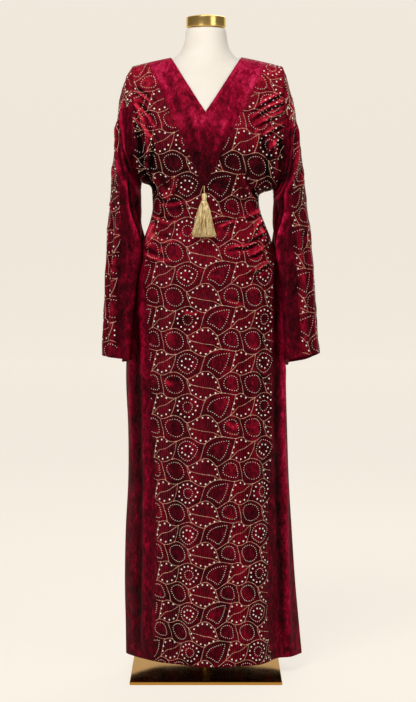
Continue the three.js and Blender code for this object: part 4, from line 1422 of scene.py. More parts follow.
class BeadTree:
    """Geometry Nodes that set a low bead on every point of a mesh."""

    def __init__(self, material: Material) -> None:
        """Build the tree for one material."""
        tree = self.tree = bpy.data.node_groups.new("beads_on_points", "GeometryNodeTree")
        given, (_, self.radius, self.rings, self.height) = tree_inputs(
            tree, ("Points", "Geometry"), ("Radius", "Float"), ("Rings", "Int"), ("Height", "Float")
        )
        ball = add_node(
            tree,
            "GeometryNodeMeshUVSphere",
            {"Segments": BEAD_SIDES, "Rings": given["Rings"], "Radius": given["Radius"]},
        )
        scale = add_node(tree, "ShaderNodeCombineXYZ", {"X": 1.0, "Y": 1.0, "Z": given["Height"]})
        flat = {"Geometry": ball.outputs["Mesh"], "Scale": scale.outputs["Vector"]}
        low = add_node(tree, "GeometryNodeTransform", flat)
        smooth = add_node(tree, "GeometryNodeSetShadeSmooth", {"Geometry": low.outputs["Geometry"]})
        facing = add_node(
            tree, "GeometryNodeInputNamedAttribute", {"Name": "facing"}, data_type="FLOAT_VECTOR"
        ).outputs["Attribute"]
        turn = add_node(tree, "FunctionNodeAlignRotationToVector", {"Vector": facing}, axis="Z")
        beads = add_node(
            tree,
            "GeometryNodeInstanceOnPoints",
            {
                "Points": given["Points"],
                "Instance": smooth.outputs["Geometry"],
                "Rotation": turn.outputs["Rotation"],
            },
        )
        end_tree(tree, beads.outputs["Instances"], material)

    def run(
        self, name: str, points: Array, facing: Array, radius: float, rings: int, height: float
    ) -> Object:
        """Set beads on points.

        Args:
            name: the piece's name.
            points: where they go, in millimetres.
            facing: the direction that each faces.
            radius: their radius.
            rings: how many rings each bead's mesh has.
            height: their height as a share of their radius.

        Returns:
            The piece, as a plain mesh.
        """
        obj = mesh_object(name, points)
        attribute = obj.data.attributes.new("facing", "FLOAT_VECTOR", "POINT")
        attribute.data.foreach_set("vector", facing.astype(np.float32).reshape(-1))
        return bake(obj, self.tree, {self.radius: radius * METRE, self.rings: rings, self.height: height})


def make_plain(obj: Object) -> None:
    """Turn what an object's modifiers make of it into its plain mesh."""
    graph = bpy.context.evaluated_depsgraph_get()
    made = bpy.data.meshes.new_from_object(obj.evaluated_get(graph), depsgraph=graph)
    obj.modifiers.clear()
    obj.data = made


def bake(obj: Object, tree: NodeTree, inputs: dict[str, float]) -> Object:
    """Run a tree on an object and keep the result as its plain mesh.

    Args:
        obj: the object.
        tree: the Geometry Nodes tree.
        inputs: a value for each input, by its identifier.

    Returns:
        The object.
    """
    modifier = obj.modifiers.new(tree.name, "NODES")
    modifier.node_group = tree
    for identifier, value in inputs.items():
        modifier[identifier] = value
    make_plain(obj)
    return obj


# ---- Printed leaves ----

PRINT_SCALES = (  # distance down the front, and the size of the print there as a share of its chart
    (0, 1.03), (500, 1.015), (700, 0.966), (950, 0.966), (1150, 0.907), (1400, 0.843), (1500, 0.843),
)
PRINT_MIDDLE = -10.0  # distance aside towards which the print draws in
SLEEVE_PRINT_SCALE = 0.985


@dataclass(frozen=True)
class FlatMap:
    """Flat coordinates of a printed piece: how far to the side of its middle and how far down a place is.

    rows: row or ring numbers. down: distance down at each. places: places across. aside: distance
    to the side, for each row and place. spans: for each row, the printed stretches (from, to) of
    distances aside. surface: points and directions for places and rows. origin: one repeat's corner.
    """

    rows: Array
    down: Array
    places: Array
    aside: Array
    spans: Array
    surface: Callable[[Array, Array], tuple[Array, ...]]
    origin: tuple[float, float]

    def rows_at(self, down: Array) -> Array:
        """Return indices into rows, with fractions, for distances down."""
        return np.interp(down, self.down, np.arange(len(self.rows)))

    def inside(self, flat: Array, margin: float) -> Array:
        """Test which flat points are on the print.

        Args:
            flat: the points.
            margin: how far they have to be from a seam.

        Returns:
            True for each that is.
        """
        index = np.clip(np.round(self.rows_at(flat[:, 1])).astype(int), 0, len(self.rows) - 1)
        spans = self.spans[index]
        on = ((flat[:, :1] > spans[..., 0] + margin) & (flat[:, :1] < spans[..., 1] - margin)).any(axis=1)
        return on & (flat[:, 1] > self.down[0] + margin) & (flat[:, 1] < self.down[-1] - margin)

    def lay(self, flat: Array) -> tuple[Array, Array]:
        """Lay flat points on the cloth.

        Args:
            flat: the points.

        Returns:
            Their places on the cloth and the directions that it faces there.
        """
        index = self.rows_at(flat[:, 1])
        low = np.minimum(index.astype(int), len(self.rows) - 2)
        places = np.empty(len(flat))
        for k, (i, t) in enumerate(zip(low, index - low)):
            aside = self.aside[i] * (1 - t) + self.aside[i + 1] * t
            places[k] = np.interp(flat[k, 0], aside, self.places)
        rows = np.interp(index, np.arange(len(self.rows)), self.rows)
        return self.surface(places, rows)[:2]

    def flatten(self, places: Array, rows: Array) -> Array:
        """Find the flat points of a grid on the cloth.

        Args:
            places: the grid's places.
            rows: one row number for each of its rows.

        Returns:
            The flat points.
        """
        flat = np.empty(places.shape + (2,))
        index = np.interp(rows, self.rows, np.arange(len(self.rows)))
        for k, i in enumerate(index):
            low = min(int(i), len(self.rows) - 2)
            aside = self.aside[low] * (1 - i + low) + self.aside[low + 1] * (i - low)
            flat[k, :, 0] = np.interp(places[k], self.places, aside)
            flat[k, :, 1] = np.interp(i, np.arange(len(self.down)), self.down)
        return flat


def distance_aside(points: Array, zero: Array, places: Array) -> Array:
    """Measure how far to the side each point of a grid lies, along its row.

    Args:
        points: rows x places x 3.
        zero: the place in each row that counts as 0.
        places: the grid's places across.

    Returns:
        The distances, rows x places.
    """
    runs = (add_up(lengths(row)) for row in points)
    return np.stack([run - np.interp(start, places, run) for run, start in zip(runs, zero)])


def front_map(origin: tuple[float, float]) -> FlatMap:
    """Measure the printed front. Its print is a little larger at the shoulders than at the hem.

    Args:
        origin: the flat place of one repeat's corner.

    Returns:
        Its flat coordinates, in the chart's millimetres.
    """
    rows = even_rows(0, HEM_ROW, MAP_SPACING)
    places = np.linspace(-1, 1, MAP_PLACES)
    across, down = np.meshgrid(places, rows)
    aside = distance_aside(SHAPE.bare(Face.FRONT, across, down), middle_line(YOKE_TIP_X)(rows), places)
    run = down_the_front(rows)
    scale = np.interp(run, *zip(*PRINT_SCALES))
    aside = PRINT_MIDDLE + (aside - PRINT_MIDDLE) / scale[:, None]
    upper = (edge_line(Side.LEFT), yoke_line(YOKE_LEFT), yoke_line(YOKE_RIGHT), edge_line(Side.RIGHT))
    nowhere = middle_line(0)
    lower = (panel_line("panel_left"), panel_line("panel_right"), nowhere, nowhere)
    seams = np.where(
        (rows < YOKE_TIP_ROW)[:, None],
        *(np.stack([line(rows) for line in lines], axis=1) for lines in (upper, lower)),
    )
    spans = np.stack([np.interp(a, places, s) for a, s in zip(seams, aside)]).reshape(len(rows), 2, 2)
    spans[rows >= YOKE_TIP_ROW, 1] = 0
    down = add_up(np.diff(run) / scale[1:])
    return FlatMap(rows, down, places, aside, spans, partial(SHAPE.creased, Face.FRONT), origin)


def sleeve_map(shape: SleeveShape, origin: tuple[float, float]) -> FlatMap:
    """Measure a sleeve's printed part.

    Its places are angles counted to the right as the sleeve is seen from the front, so the print
    isn't mirrored from one sleeve to the other.

    Args:
        shape: the sleeve.
        origin: the flat place of one repeat's corner.

    Returns:
        Its flat coordinates, in the chart's millimetres.
    """
    rings, rightwards = np.linspace(0, CUFF_RING, MAP_RINGS), -shape.side.value
    places = np.sort(rightwards * np.linspace(*MAP_ANGLES))
    across, down = np.meshgrid(places, rings)
    aside = distance_aside(shape.bare(rightwards * across, down), np.zeros(len(rings)), places)
    aside = aside / SLEEVE_PRINT_SCALE
    seams = np.stack([back_seam(rings), sleeve_seam(shape.side)(rings)], axis=1)
    seams = np.sort(rightwards * seams, axis=1)
    spans = np.stack([np.interp(a, places, s) for a, s in zip(seams, aside)])[:, None, :]
    down = shape.down_the_fold(rings) / SLEEVE_PRINT_SCALE

    def surface(angles: Array, at_rings: Array) -> tuple[Array, ...]:
        """Return points and directions of the sleeve."""
        return shape.creased(rightwards * angles, at_rings)

    return FlatMap(rings, down, places, aside, spans, surface, origin)


def sleeve_seam(side: Side) -> Line:
    """Find a sleeve's front seam.

    Args:
        side: which sleeve.

    Returns:
        Its angle for a ring.
    """

    def line(rings: Array) -> Array:
        """Return the seam's angle at each ring."""
        seam = SLEEVES[side].at(np.maximum(rings - 1, 0))["seam"]
        share = np.minimum(rings, 1)
        return PRINT_STEPS * ARMHOLE_STEP * (1 - share) + seam * share

    return line


def back_seam(rings: Array) -> Array:
    """Return the angle of a sleeve's back seam at each ring."""
    share = np.minimum(rings, 1)
    return -BACK_STEPS * ARMHOLE_STEP * (1 - share) + BACK_SEAM_ANGLE * share


@dataclass(frozen=True)
class LeafPrint:
    """A repeat of veined and dotted leaves between wavy vines, charted in millimetres.

    Places are (to the right, down) in a repeat. Vines join at knots. A dotted line is a row of fine
    studs, and a jewelled line one of larger stones.
    """

    width: float = 196.0
    drop: float = 105.0
    vines: tuple[FlatPath, ...] = (
        ((0, 0), (11, 9), (29, 10), (40, 5), (54, 0), (67, 0), (79, 7), (89, 12), (101, 14),
         (110, 7), (125, 0), (142, -3), (157, -1), (175, 2), (186, -1), (196, 0)),
        ((-34, 51), (-21, 54), (-10, 60), (3, 59), (17, 53), (30, 53), (45, 60), (57, 69), (70, 64),
         (88, 54), (99, 50), (110, 51), (120, 58), (130, 69), (142, 64), (152, 57), (162, 51)),
        ((29, 10), (27, 24), (23, 38), (17, 53)),
        ((101, 14), (96, 28), (93, 40), (88, 54)),
        ((175, 2), (171, 17), (167, 31), (162, 51)),
        ((162, 51), (171, 42), (181, 32), (193, 29), (203, 25), (214, 17), (225, 10)),
        ((-10, 60), (-6, 74), (-2, 88), (0, 105)),
        ((57, 69), (58, 81), (63, 94), (67, 105)),
        ((130, 69), (134, 81), (137, 91), (142, 102)),
        ((57, 69), (64, 80), (76, 84), (98, 89), (120, 92), (132, 98), (142, 102)),
    )
    knots: FlatPath = (
        (0, 0), (29, 10), (67, 0), (101, 14), (142, -3), (175, 2), (57, 69), (17, 53), (162, 51),
        (130, 69),
    )
    dotted: tuple[FlatPath, ...] = (
        ((6, 69), (14, 63), (25, 61), (36, 64), (43, 71), (47, 80), (48, 90), (43, 98), (34, 103),
         (24, 103), (14, 98), (8, 89), (4, 78)),
        ((147, 73), (154, 64), (166, 61), (176, 66), (180, 77), (182, 89), (179, 96), (167, 96),
         (155, 92), (147, 86)),
        ((158, 8), (142, 9), (127, 13), (116, 19), (108, 31), (107, 39), (116, 42), (126, 48),
         (137, 55), (146, 46), (152, 34), (156, 21)),
    )
    jewelled: tuple[FlatPath, ...] = (
        ((72, 71), (84, 60), (97, 56), (110, 57), (119, 64), (127, 76), (132, 89)),
        ((64, 84), (70, 95), (79, 105), (90, 111), (103, 113), (114, 107), (126, 102)),
        ((168, 36), (171, 21), (178, 10), (190, 6), (203, 10)),
        ((211, 39), (203, 49), (190, 53), (178, 49)),
    )
    ring: FlatPath = (
        (34, 40), (34, 25), (40, 15), (51, 9), (61, 9), (72, 14), (83, 23), (81, 33), (76, 43),
        (67, 52), (57, 56), (45, 51),
    )
    inner_ring: FlatPath = ((47, 31), (49, 23), (57, 19), (66, 21), (71, 29), (68, 38), (60, 44), (51, 41))
    heart_stones: FlatPath = ((44, 26), (54, 20), (64, 21), (71, 28), (68, 37), (61, 45), (52, 41), (44, 36))
    hatched: tuple[FlatPath, ...] = (
        ((57, 69), (70, 64), (88, 54), (99, 50), (110, 51), (120, 58), (130, 69), (134, 81),
         (137, 91), (142, 102), (125, 105), (110, 112), (101, 119), (89, 117), (79, 112), (67, 105),
         (63, 94), (58, 81)),
        ((175, 2), (186, -1), (196, 0), (207, 9), (225, 10), (223, 24), (219, 38), (213, 53),
         (199, 59), (185, 60), (173, 54), (162, 51), (167, 31), (171, 17)),
    )
    vine_step: float = 4.0
    stud_gap: float = 5.7
    stone_gap: float = 14.0
    ring_gap: float = 11.5
    stud_radius: float = 1.15
    stone_radius: float = 2.2
    knot_radius: float = 1.7
    vine_radius: float = 0.62
    vine_sunk: float = 0.35  # how far a vine's middle lies below the cloth's surface
    vine_margin: float = 1.2
    knot_margin: float = 2.0
    stud_margin: float = 1.4
    stone_margin: float = 2.6
    outline_step: float = 6.0

    def marks(self, flat: Array, area: FlatMap) -> Array:
        """Tell which part of the print covers flat points.

        Args:
            flat: the points.
            area: the printed piece.

        Returns:
            1 inside the hatched leaves, -1 inside the dotted ones and 0 between.
        """
        u = (flat[..., 0] - area.origin[0]) % self.width
        v = (flat[..., 1] - area.origin[1]) % self.drop
        found = np.zeros(u.shape)
        for value, leaves in ((1.0, self.hatched), (-1.0, (*self.dotted, self.ring))):
            for leaf in leaves:
                corners = smooth_path(leaf, self.outline_step, closed=True)
                for du in (-self.width, 0, self.width):
                    for dv in (-self.drop, 0, self.drop):
                        found[inside_polygon(u + du, v + dv, corners)] = value
        return found

    def tiles(self, area: FlatMap) -> list[tuple[int, Array]]:
        """Find the repeats that cover a printed piece.

        Args:
            area: the printed piece.

        Returns:
            The row and the corner of each repeat.
        """
        first = math.floor((area.spans.min() - area.origin[0]) / self.width) - 1
        last = math.ceil((area.spans.max() - area.origin[0]) / self.width) + 1
        low = math.floor((area.down[0] - area.origin[1]) / self.drop) - 1
        high = math.ceil((area.down[-1] - area.origin[1]) / self.drop) + 1
        return [
            (j, np.array([area.origin[0] + i * self.width, area.origin[1] + j * self.drop]))
            for i in range(first, last)
            for j in range(low, high)
        ]

    def vine_paths(self, area: FlatMap) -> list[Array]:
        """Lay the vines, cut at the seams.

        Args:
            area: the printed piece.

        Returns:
            Their paths on the cloth.
        """
        flat, cuts = [], []
        for _, corner in self.tiles(area):
            for vine in self.vines:
                path = smooth_path(vine, self.vine_step) + corner
                on = area.inside(path, self.vine_margin)
                runs = np.split(np.arange(len(path)), np.nonzero(np.diff(on.astype(int)))[0] + 1)
                for run in runs:
                    if on[run[0]] and len(run) > 1:
                        flat.append(path[run])
                        cuts.append(len(run))
        points, normals = area.lay(np.vstack(flat))
        return np.split(points - normals * self.vine_sunk, np.cumsum(cuts)[:-1])

    def knot_beads(self, area: FlatMap) -> tuple[Array, Array]:
        """Return the places of the blobs of glitter where vines join, and the directions they face."""
        every = np.vstack([np.array(self.knots) + corner for _, corner in self.tiles(area)])
        return area.lay(every[area.inside(every, self.knot_margin)])

    def beads(self, area: FlatMap, stones: bool) -> tuple[Array, Array]:
        """Place the fine studs or the stones on the cloth.

        Args:
            area: the printed piece.
            stones: whether the stones are wanted rather than the studs.

        Returns:
            The points and the directions that they face.
        """
        flat = []
        for j, corner in self.tiles(area):
            starry = j % 2 == 1
            if stones:
                groups = [smooth_path(line, self.stone_gap) for line in self.jewelled]
                ring = smooth_path(self.ring, self.ring_gap, True)
                groups.append(np.array(self.heart_stones) if starry else ring)
            else:
                outlines = (*self.dotted, self.ring if starry else self.inner_ring)
                groups = [smooth_path(line, self.stud_gap, True) for line in outlines]
            flat += [group + corner for group in groups]
        every = np.vstack(flat)
        return area.lay(every[area.inside(every, self.stone_margin if stones else self.stud_margin)])


def inside_polygon(u: Array, v: Array, corners: Array) -> Array:
    """Test which places are inside a polygon.

    Args:
        u: first coordinate of the places.
        v: second coordinate of the places.
        corners: the polygon's corners in order.

    Returns:
        True for each that does.
    """
    found = np.zeros(u.shape, bool)
    for (u0, v0), (u1, v1) in zip(corners, np.roll(corners, -1, axis=0)):
        if v0 != v1:
            found ^= ((v0 > v) != (v1 > v)) & (u < (u1 - u0) * (v - v0) / (v1 - v0) + u0)
    return found


# ---- Sub-assemblies ----


def settle(obj: Object, slot: str, replaces: str | None = None) -> Object:
    """Fix a finished piece to the frame.

    Args:
        obj: the piece.
        slot: the record's material slot; not used.
        replaces: the CAD node that it stands for.

    Returns:
        The piece.
    """
    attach(obj, "root")
    if replaces:
        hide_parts(replaces)
    log.info("%s: %d faces", obj.name, len(obj.data.polygons))
    return obj


def dress(obj: Object, material: Material) -> None:
    """Give a mesh one material."""
    obj.data.materials.clear()
    obj.data.materials.append(material)


@dataclass
class Garment:
    """The jalabiya's panels, yoke and sleeves."""

    # The last colour of each velvet is its painted highlight, and its first, nearly black, is also its
    # painted shade.
    velvet: CrushedVelvet = CrushedVelvet("viscose_velvet_crushed", "0A0001", "500012", "96042A", "DC3060")
    printed: CrushedVelvet = CrushedVelvet(
        "viscose_velvet_printed", "060001", "4E0212", "8A0822", "E03048",
        patch_mm=15, crush_mm=5, printed=True,
    )
    glitter: GlitterPaste = GlitterPaste()
    chart: LeafPrint = LeafPrint()
    spacing: float = 4.5
    bodice_spacing: float = 3.6
    back_spacing: float = 5.0
    half_columns: int = 40
    yoke_columns: int = 18
    back_columns: int = 42
    side_columns: int = 18
    print_columns: int = 34
    plain_columns: int = 64
    armhole_rings: int = 8
    sleeve_rings: int = 150
    tip_gap: float = 0.04  # rows that the yoke ends above the skirt
    gore_gap: float = 0.02  # rows that a side panel starts below its point
    front_origin: tuple[float, float] = (-98.5, 646.0)
    left_origin: tuple[float, float] = (58.0, 406.0)
    right_origin: tuple[float, float] = (-22.0, 498.0)

    def build(self) -> None:
        """Build every piece of the garment."""
        self.plain_material, self.print_material = self.velvet.build(), self.printed.build()
        glitter = self.glitter.build()
        self.vine_tree, self.knot_tree = ThreadTree(glitter), BeadTree(glitter)
        self.stud_tree = BeadTree(PearlBead("resin_studs_pearl").build())
        self.stone_tree = BeadTree(PearlBead("resin_stones_cream", "FFFDF4", "FBEFD4").build())
        front = front_map(self.front_origin)
        self.front_panel(front)
        self.decorate("front", front)
        self.front_yoke()
        self.back_panel()
        for side in Side:
            self.side_panel(side)
            self.sleeve(side)

    def grid(self, face: Face, rows: Array, lines: Sequence[tuple[Line, int, int]]) -> tuple[Array, ...]:
        """Lay a grid on the body between seam lines.

        Args:
            face: front or back.
            rows: the row numbers.
            lines: for each seam line, the line, the columns up to it from the last one, and which
                way it leaves half a seam's gap (-1, 0 or 1).

        Returns:
            Points, directions, how far each stands out, and places across.
        """
        columns, gaps, last = [], [], None
        for line, count, gap in lines:
            here = line(rows)
            columns += [last + (here - last) * j / count for j in range(1, count)]
            gaps += [0] * (count - 1) + [gap]
            columns.append(here)
            last = here
        across = np.stack(columns, axis=1)
        row_grid = np.repeat(rows[:, None], across.shape[1], axis=1)
        step = 1e-3
        ahead, behind = np.minimum(across + step, 1), np.maximum(across - step, -1)
        apart = SHAPE.bare(face, ahead, row_grid) - SHAPE.bare(face, behind, row_grid)
        per_unit = np.maximum(np.linalg.norm(apart, axis=-1) / (ahead - behind), 1)
        at_side = np.abs(across) >= 1
        moved = np.where(at_side, across, np.clip(across + np.array(gaps) * SEAM / 2 / per_unit, -1, 1))
        points, normals, raised = SHAPE.creased(face, moved, row_grid)
        flat = (row_grid <= 0) | (at_side & (row_grid > UNDERARM_ROW))
        points[..., 1] = np.where(flat, face.value * SEAM / 2, points[..., 1])
        return points, normals, raised, moved

    def finish(
        self, wall: ClothWall, node: str, size: tuple[float, float], printed: bool
    ) -> None:
        """Args:
            wall: its patches.
            node: the CAD node that it stands for.
            size: width and length of its cut, in millimetres.
            printed: whether it is cut from the printed velvet.
        """
        obj, area = wall.build(f"{node}_cloth")
        dress(obj, self.print_material if printed else self.plain_material)
        settle(obj, "printed_velvet" if printed else "velvet", node)
        width, length = (s * METRE for s in size)
        log.info("%s: area %.3f of %.3f", node, area, width * length)
        min(area, width * length)

    def panel(
        self,
        node: str,
        face: Face,
        size: tuple[float, float],
        patches: Sequence[tuple[Array, Sequence[tuple[Line, int, int]]]],
        area: FlatMap | None = None,
    ) -> None:
        """Build one piece of the body's cloth.

        Args:
            node: the CAD node that it stands for.
            face: front or back.
            size: width and length of its cut, in millimetres.
            patches: the rows and seam lines of each of its patches.
            area: its flat coordinates, if it is printed.
        """
        wall = ClothWall()
        for rows, lines in patches:
            points, normals, raised, across = self.grid(face, rows, lines)
            marks = self.chart.marks(area.flatten(across, rows), area) if area else None
            wall.patch(points, normals, raised, marks)
        self.finish(wall, node, size, area is not None)

    def front_panel(self, area: FlatMap) -> None:
        """Build the printed front, with its notch for the yoke."""
        bodice = even_rows(0, YOKE_TIP_ROW, self.bodice_spacing)
        skirt = even_rows(YOKE_TIP_ROW, HEM_ROW, self.spacing)
        middle, half = middle_line(YOKE_TIP_X), self.half_columns
        left, right = panel_line("panel_left"), panel_line("panel_right")
        patches = (
            (bodice, ((edge_line(Side.LEFT), 1, 0), (yoke_line(YOKE_LEFT), half, 0))),
            (bodice, ((yoke_line(YOKE_RIGHT), 1, 0), (edge_line(Side.RIGHT), half, 0))),
            (skirt, ((left, 1, 0), (middle, half, 0), (right, half, 0))),
        )
        self.panel("front_panel", Face.FRONT, (430, 1465), patches, area)

    def decorate(self, name: str, area: FlatMap) -> None:
        """Print the vines and set the studs and stones on a printed piece.

        Args:
            name: what the pieces are called after.
            area: the printed piece.
        """
        chart, slot = self.chart, "printed_velvet"
        vines = chart.vine_paths(area)
        settle(self.vine_tree.run(f"glitter_vines_{name}", vines, chart.vine_radius, VINE_SIDES), slot)
        knots = chart.knot_beads(area)
        settle(self.knot_tree.run(f"glitter_knots_{name}", *knots, chart.knot_radius, *KNOT_FORM), slot)
        studs = chart.beads(area, stones=False)
        settle(self.stud_tree.run(f"studs_{name}", *studs, chart.stud_radius, *STUD_FORM), slot)
        stones = chart.beads(area, stones=True)
        settle(self.stone_tree.run(f"stones_{name}", *stones, chart.stone_radius, *STONE_FORM), slot)

    def front_yoke(self) -> None:
        """Build the plain V from the shoulders to the waist."""
        legs = even_rows(0, NECK_TIP_ROW, self.spacing)
        point = even_rows(NECK_TIP_ROW, YOKE_TIP_ROW - self.tip_gap, self.spacing)
        left, right, half = yoke_line(YOKE_LEFT), yoke_line(YOKE_RIGHT), self.yoke_columns

        def spine(rows: Array) -> Array:
            """Return the yoke's middle line, as a place across for a row."""
            share = (rows - NECK_TIP_ROW) / (point[-1] - NECK_TIP_ROW)
            return SHAPE.across_at(rows, NECK_TIP_X + (YOKE_TIP_X - NECK_TIP_X) * share)

        patches = (
            (legs, ((left, 1, 1), (neck_line(Side.LEFT), half, 0))),
            (legs, ((neck_line(Side.RIGHT), 1, 0), (right, half, -1))),
            (point, ((left, 1, 1), (spine, half, 0), (right, half, -1))),
        )
        self.panel("front_yoke", Face.FRONT, (290, 330), patches)

    def back_panel(self) -> None:
        """Build the plain back in one piece, with rows that crowd where the neckline turns level."""
        legs = np.array([*np.linspace(0, 2, 9), *np.linspace(2.1, 2.9, 9), 2.94, 2.97, 2.99, BACK_NECK_ROW])
        lower, half = even_rows(BACK_NECK_ROW, HEM_ROW, self.back_spacing), self.back_columns
        left, right = edge_line(Side.LEFT), edge_line(Side.RIGHT)
        patches = (
            (legs, ((left, 1, 0), (back_neck(Side.LEFT), half, 0))),
            (legs, ((back_neck(Side.RIGHT), 1, 0), (right, half, 0))),
            (lower, ((left, 1, 0), (middle_line(0), half, 0), (right, half, 0))),
        )
        self.panel("back_panel", Face.BACK, (560, 1490), patches)

    def side_panel(self, side: Side) -> None:
        """Build one plain panel between the printed front and the back."""
        edge, columns = edge_line(side), self.side_columns
        if side is Side.LEFT:
            start, lines = LEFT_GORE_ROW, ((edge, 1, 0), (panel_line("panel_left"), columns, -1))
        else:
            start, lines = RIGHT_GORE_ROW, ((panel_line("panel_right"), 1, 1), (edge, columns, 0))
        rows = even_rows(start + self.gore_gap, HEM_ROW, self.spacing)
        self.panel(f"side_panel_{side.name.lower()}", Face.FRONT, (190, 1010), ((rows, lines),))

    def sleeve(self, side: Side) -> None:
        """Build the printed and the plain part of a sleeve, and decorate the printed one."""
        shape, name = SleeveShape(side), side.name.lower()
        area = sleeve_map(shape, self.left_origin if side is Side.LEFT else self.right_origin)
        dense = np.linspace(1, CUFF_RING, 400)
        run = shape.down_the_fold(dense)
        below = np.interp(np.linspace(0, 1, self.sleeve_rings), run / run[-1], dense)
        rings = np.concatenate([np.linspace(0, 1, self.armhole_rings + 1)[:-1], below])
        seam, back = sleeve_seam(side)(rings), back_seam(rings)
        parts = (
            ("print", back, seam, self.print_columns, (170, 740)),
            ("plain", seam, 360 + back, self.plain_columns, (330, 740)),
        )
        for part, first, last, columns, size in parts:
            angle = first[:, None] + (last - first)[:, None] * np.linspace(0, 1, columns + 1)
            ring_grid = np.repeat(rings[:, None], columns + 1, axis=1)
            turn, step = wrapped(angle), 0.25
            apart = shape.bare(turn + step, ring_grid) - shape.bare(turn - step, ring_grid)
            per_degree = np.maximum(np.linalg.norm(apart, axis=-1) / (2 * step), LEAST_PER_DEGREE)
            gap = np.zeros(columns + 1)
            gap[0], gap[-1] = 1, -1
            moved = turn + gap * SEAM / 2 / per_degree
            points, normals, raised = shape.creased(moved, ring_grid)
            wall, printed = ClothWall(), part == "print"
            marks = self.chart.marks(area.flatten(-side.value * moved, rings), area) if printed else None
            wall.patch(points, normals, raised, marks)
            self.finish(wall, f"sleeve_{name}_{part}", size, printed)
        self.decorate(f"sleeve_{name}", area)


@dataclass
class Tassel:
    """The tassel at the yoke's point: a twisted cord, a bound head and a skirt of threads."""

    place: tuple[float, float, float] = (-4.0, -102.6, 1149.0)
    lean_degrees: float = 10.1
    cord: float = 18.0
    ply_radius: float = 0.62
    ply_away: float = 0.5
    twist_length: float = 5.0
    head: float = 17.0
    head_outline: FlatPath = (  # radius, and height from the head's top
        (1.0, 0), (3.0, -0.7), (4.7, -2.6), (5.3, -5), (5.4, -7.5), (4.9, -10), (4.3, -12), (4.4, -14),
        (5.3, -16.4),
    )
    head_threads: int = 46
    head_flatness: float = 0.9
    winding: tuple[float, float] = (4.7, 4.3)  # half its width and half its depth
    winding_top: float = 10.9
    winding_turns: int = 5
    winding_pitch: float = 0.75
    winding_radius: float = 0.5
    skirt: float = 86.0
    reach: float = 30.0
    depth: float = 14.0
    widths: FlatPath = (  # reach aside, at a share of the way down
        (5.4, 0), (10.5, 0.12), (15.5, 0.3), (20.5, 0.55), (25.0, 0.8), (30.0, 1.0),
    )
    strands: int = 420
    thread_radius: float = 0.55
    seed: int = 5

    def build(self) -> None:
        """Build the tassel's three pieces."""
        tree = ThreadTree(RayonThread().build())
        self.twist(tree)
        self.bound_head(tree)
        self.threads(tree)

    def put(self, x: Array, y: Array, z: Array) -> Array:
        """Return the places on the dress of points measured from the tassel's top."""
        turn = Euler((-math.radians(self.lean_degrees), 0, 0)).to_matrix()
        return np.stack([x, y, z], axis=1) @ np.array(turn).T + np.array(self.place)

    def twist(self, tree: ThreadTree) -> None:
        """Build the cord, two plies twisted together."""
        z, paths = np.linspace(0, -self.cord, 28), []
        for phase in (0.0, math.pi):
            angle = phase - z * math.tau / self.twist_length
            paths.append(self.put(self.ply_away * np.cos(angle), self.ply_away * np.sin(angle), z))
        settle(tree.run("tassel_cord_twist", paths, self.ply_radius, 6), "tassel_thread", "tassel_cord")

    def bound_head(self, tree: ThreadTree) -> None:
        """Build the head, a knob of threads bound by a winding at its neck."""
        outline = np.array(self.head_outline)
        radius, z = catmull_rom(outline, np.linspace(0, len(outline) - 1, 14)).T
        paths = []
        for k in range(self.head_threads):
            angle = k * math.tau / self.head_threads
            y = self.head_flatness * radius * np.sin(angle)
            paths.append(self.put(radius * np.cos(angle), y, z - self.cord))
        turns = np.linspace(0, self.winding_turns * math.tau, 140)
        height = -self.cord - self.winding_top - turns / math.tau * self.winding_pitch
        across, through = self.winding
        paths.append(self.put(across * np.cos(turns), through * np.sin(turns), height))
        settle(tree.run("tassel_head_bound", paths, self.winding_radius, 4), "tassel_thread", "tassel_head")

    def threads(self, tree: ThreadTree) -> None:
        """Build the skirt of threads, which spread as they hang."""
        rng = np.random.default_rng(self.seed)
        down = np.linspace(0, 1, 11)
        reach, share_down = np.array(self.widths).T
        spread = np.interp(down, share_down, reach)
        paths = []
        for k in range(self.strands):
            angle = k * GOLDEN_ANGLE
            share = math.sqrt((k + 0.5) / self.strands) * rng.uniform(0.86, 1.0)
            length = self.skirt * (1 - 0.09 * rng.random() ** 2)
            radius = spread * share
            wave = np.sin(down * rng.uniform(5, 9) + rng.uniform(0, 6)) * rng.uniform(0.3, 1.7) * down
            y = radius * math.sin(angle) * self.depth / self.reach + 0.5 * wave[::-1] * down
            z = -self.cord - self.head - down * (length - 0.6)
            paths.append(self.put(radius * math.cos(angle) + wave, y, z))
        skirt = tree.run("tassel_skirt_threads", paths, self.thread_radius, 4)
        settle(skirt, "tassel_thread", "tassel_skirt")


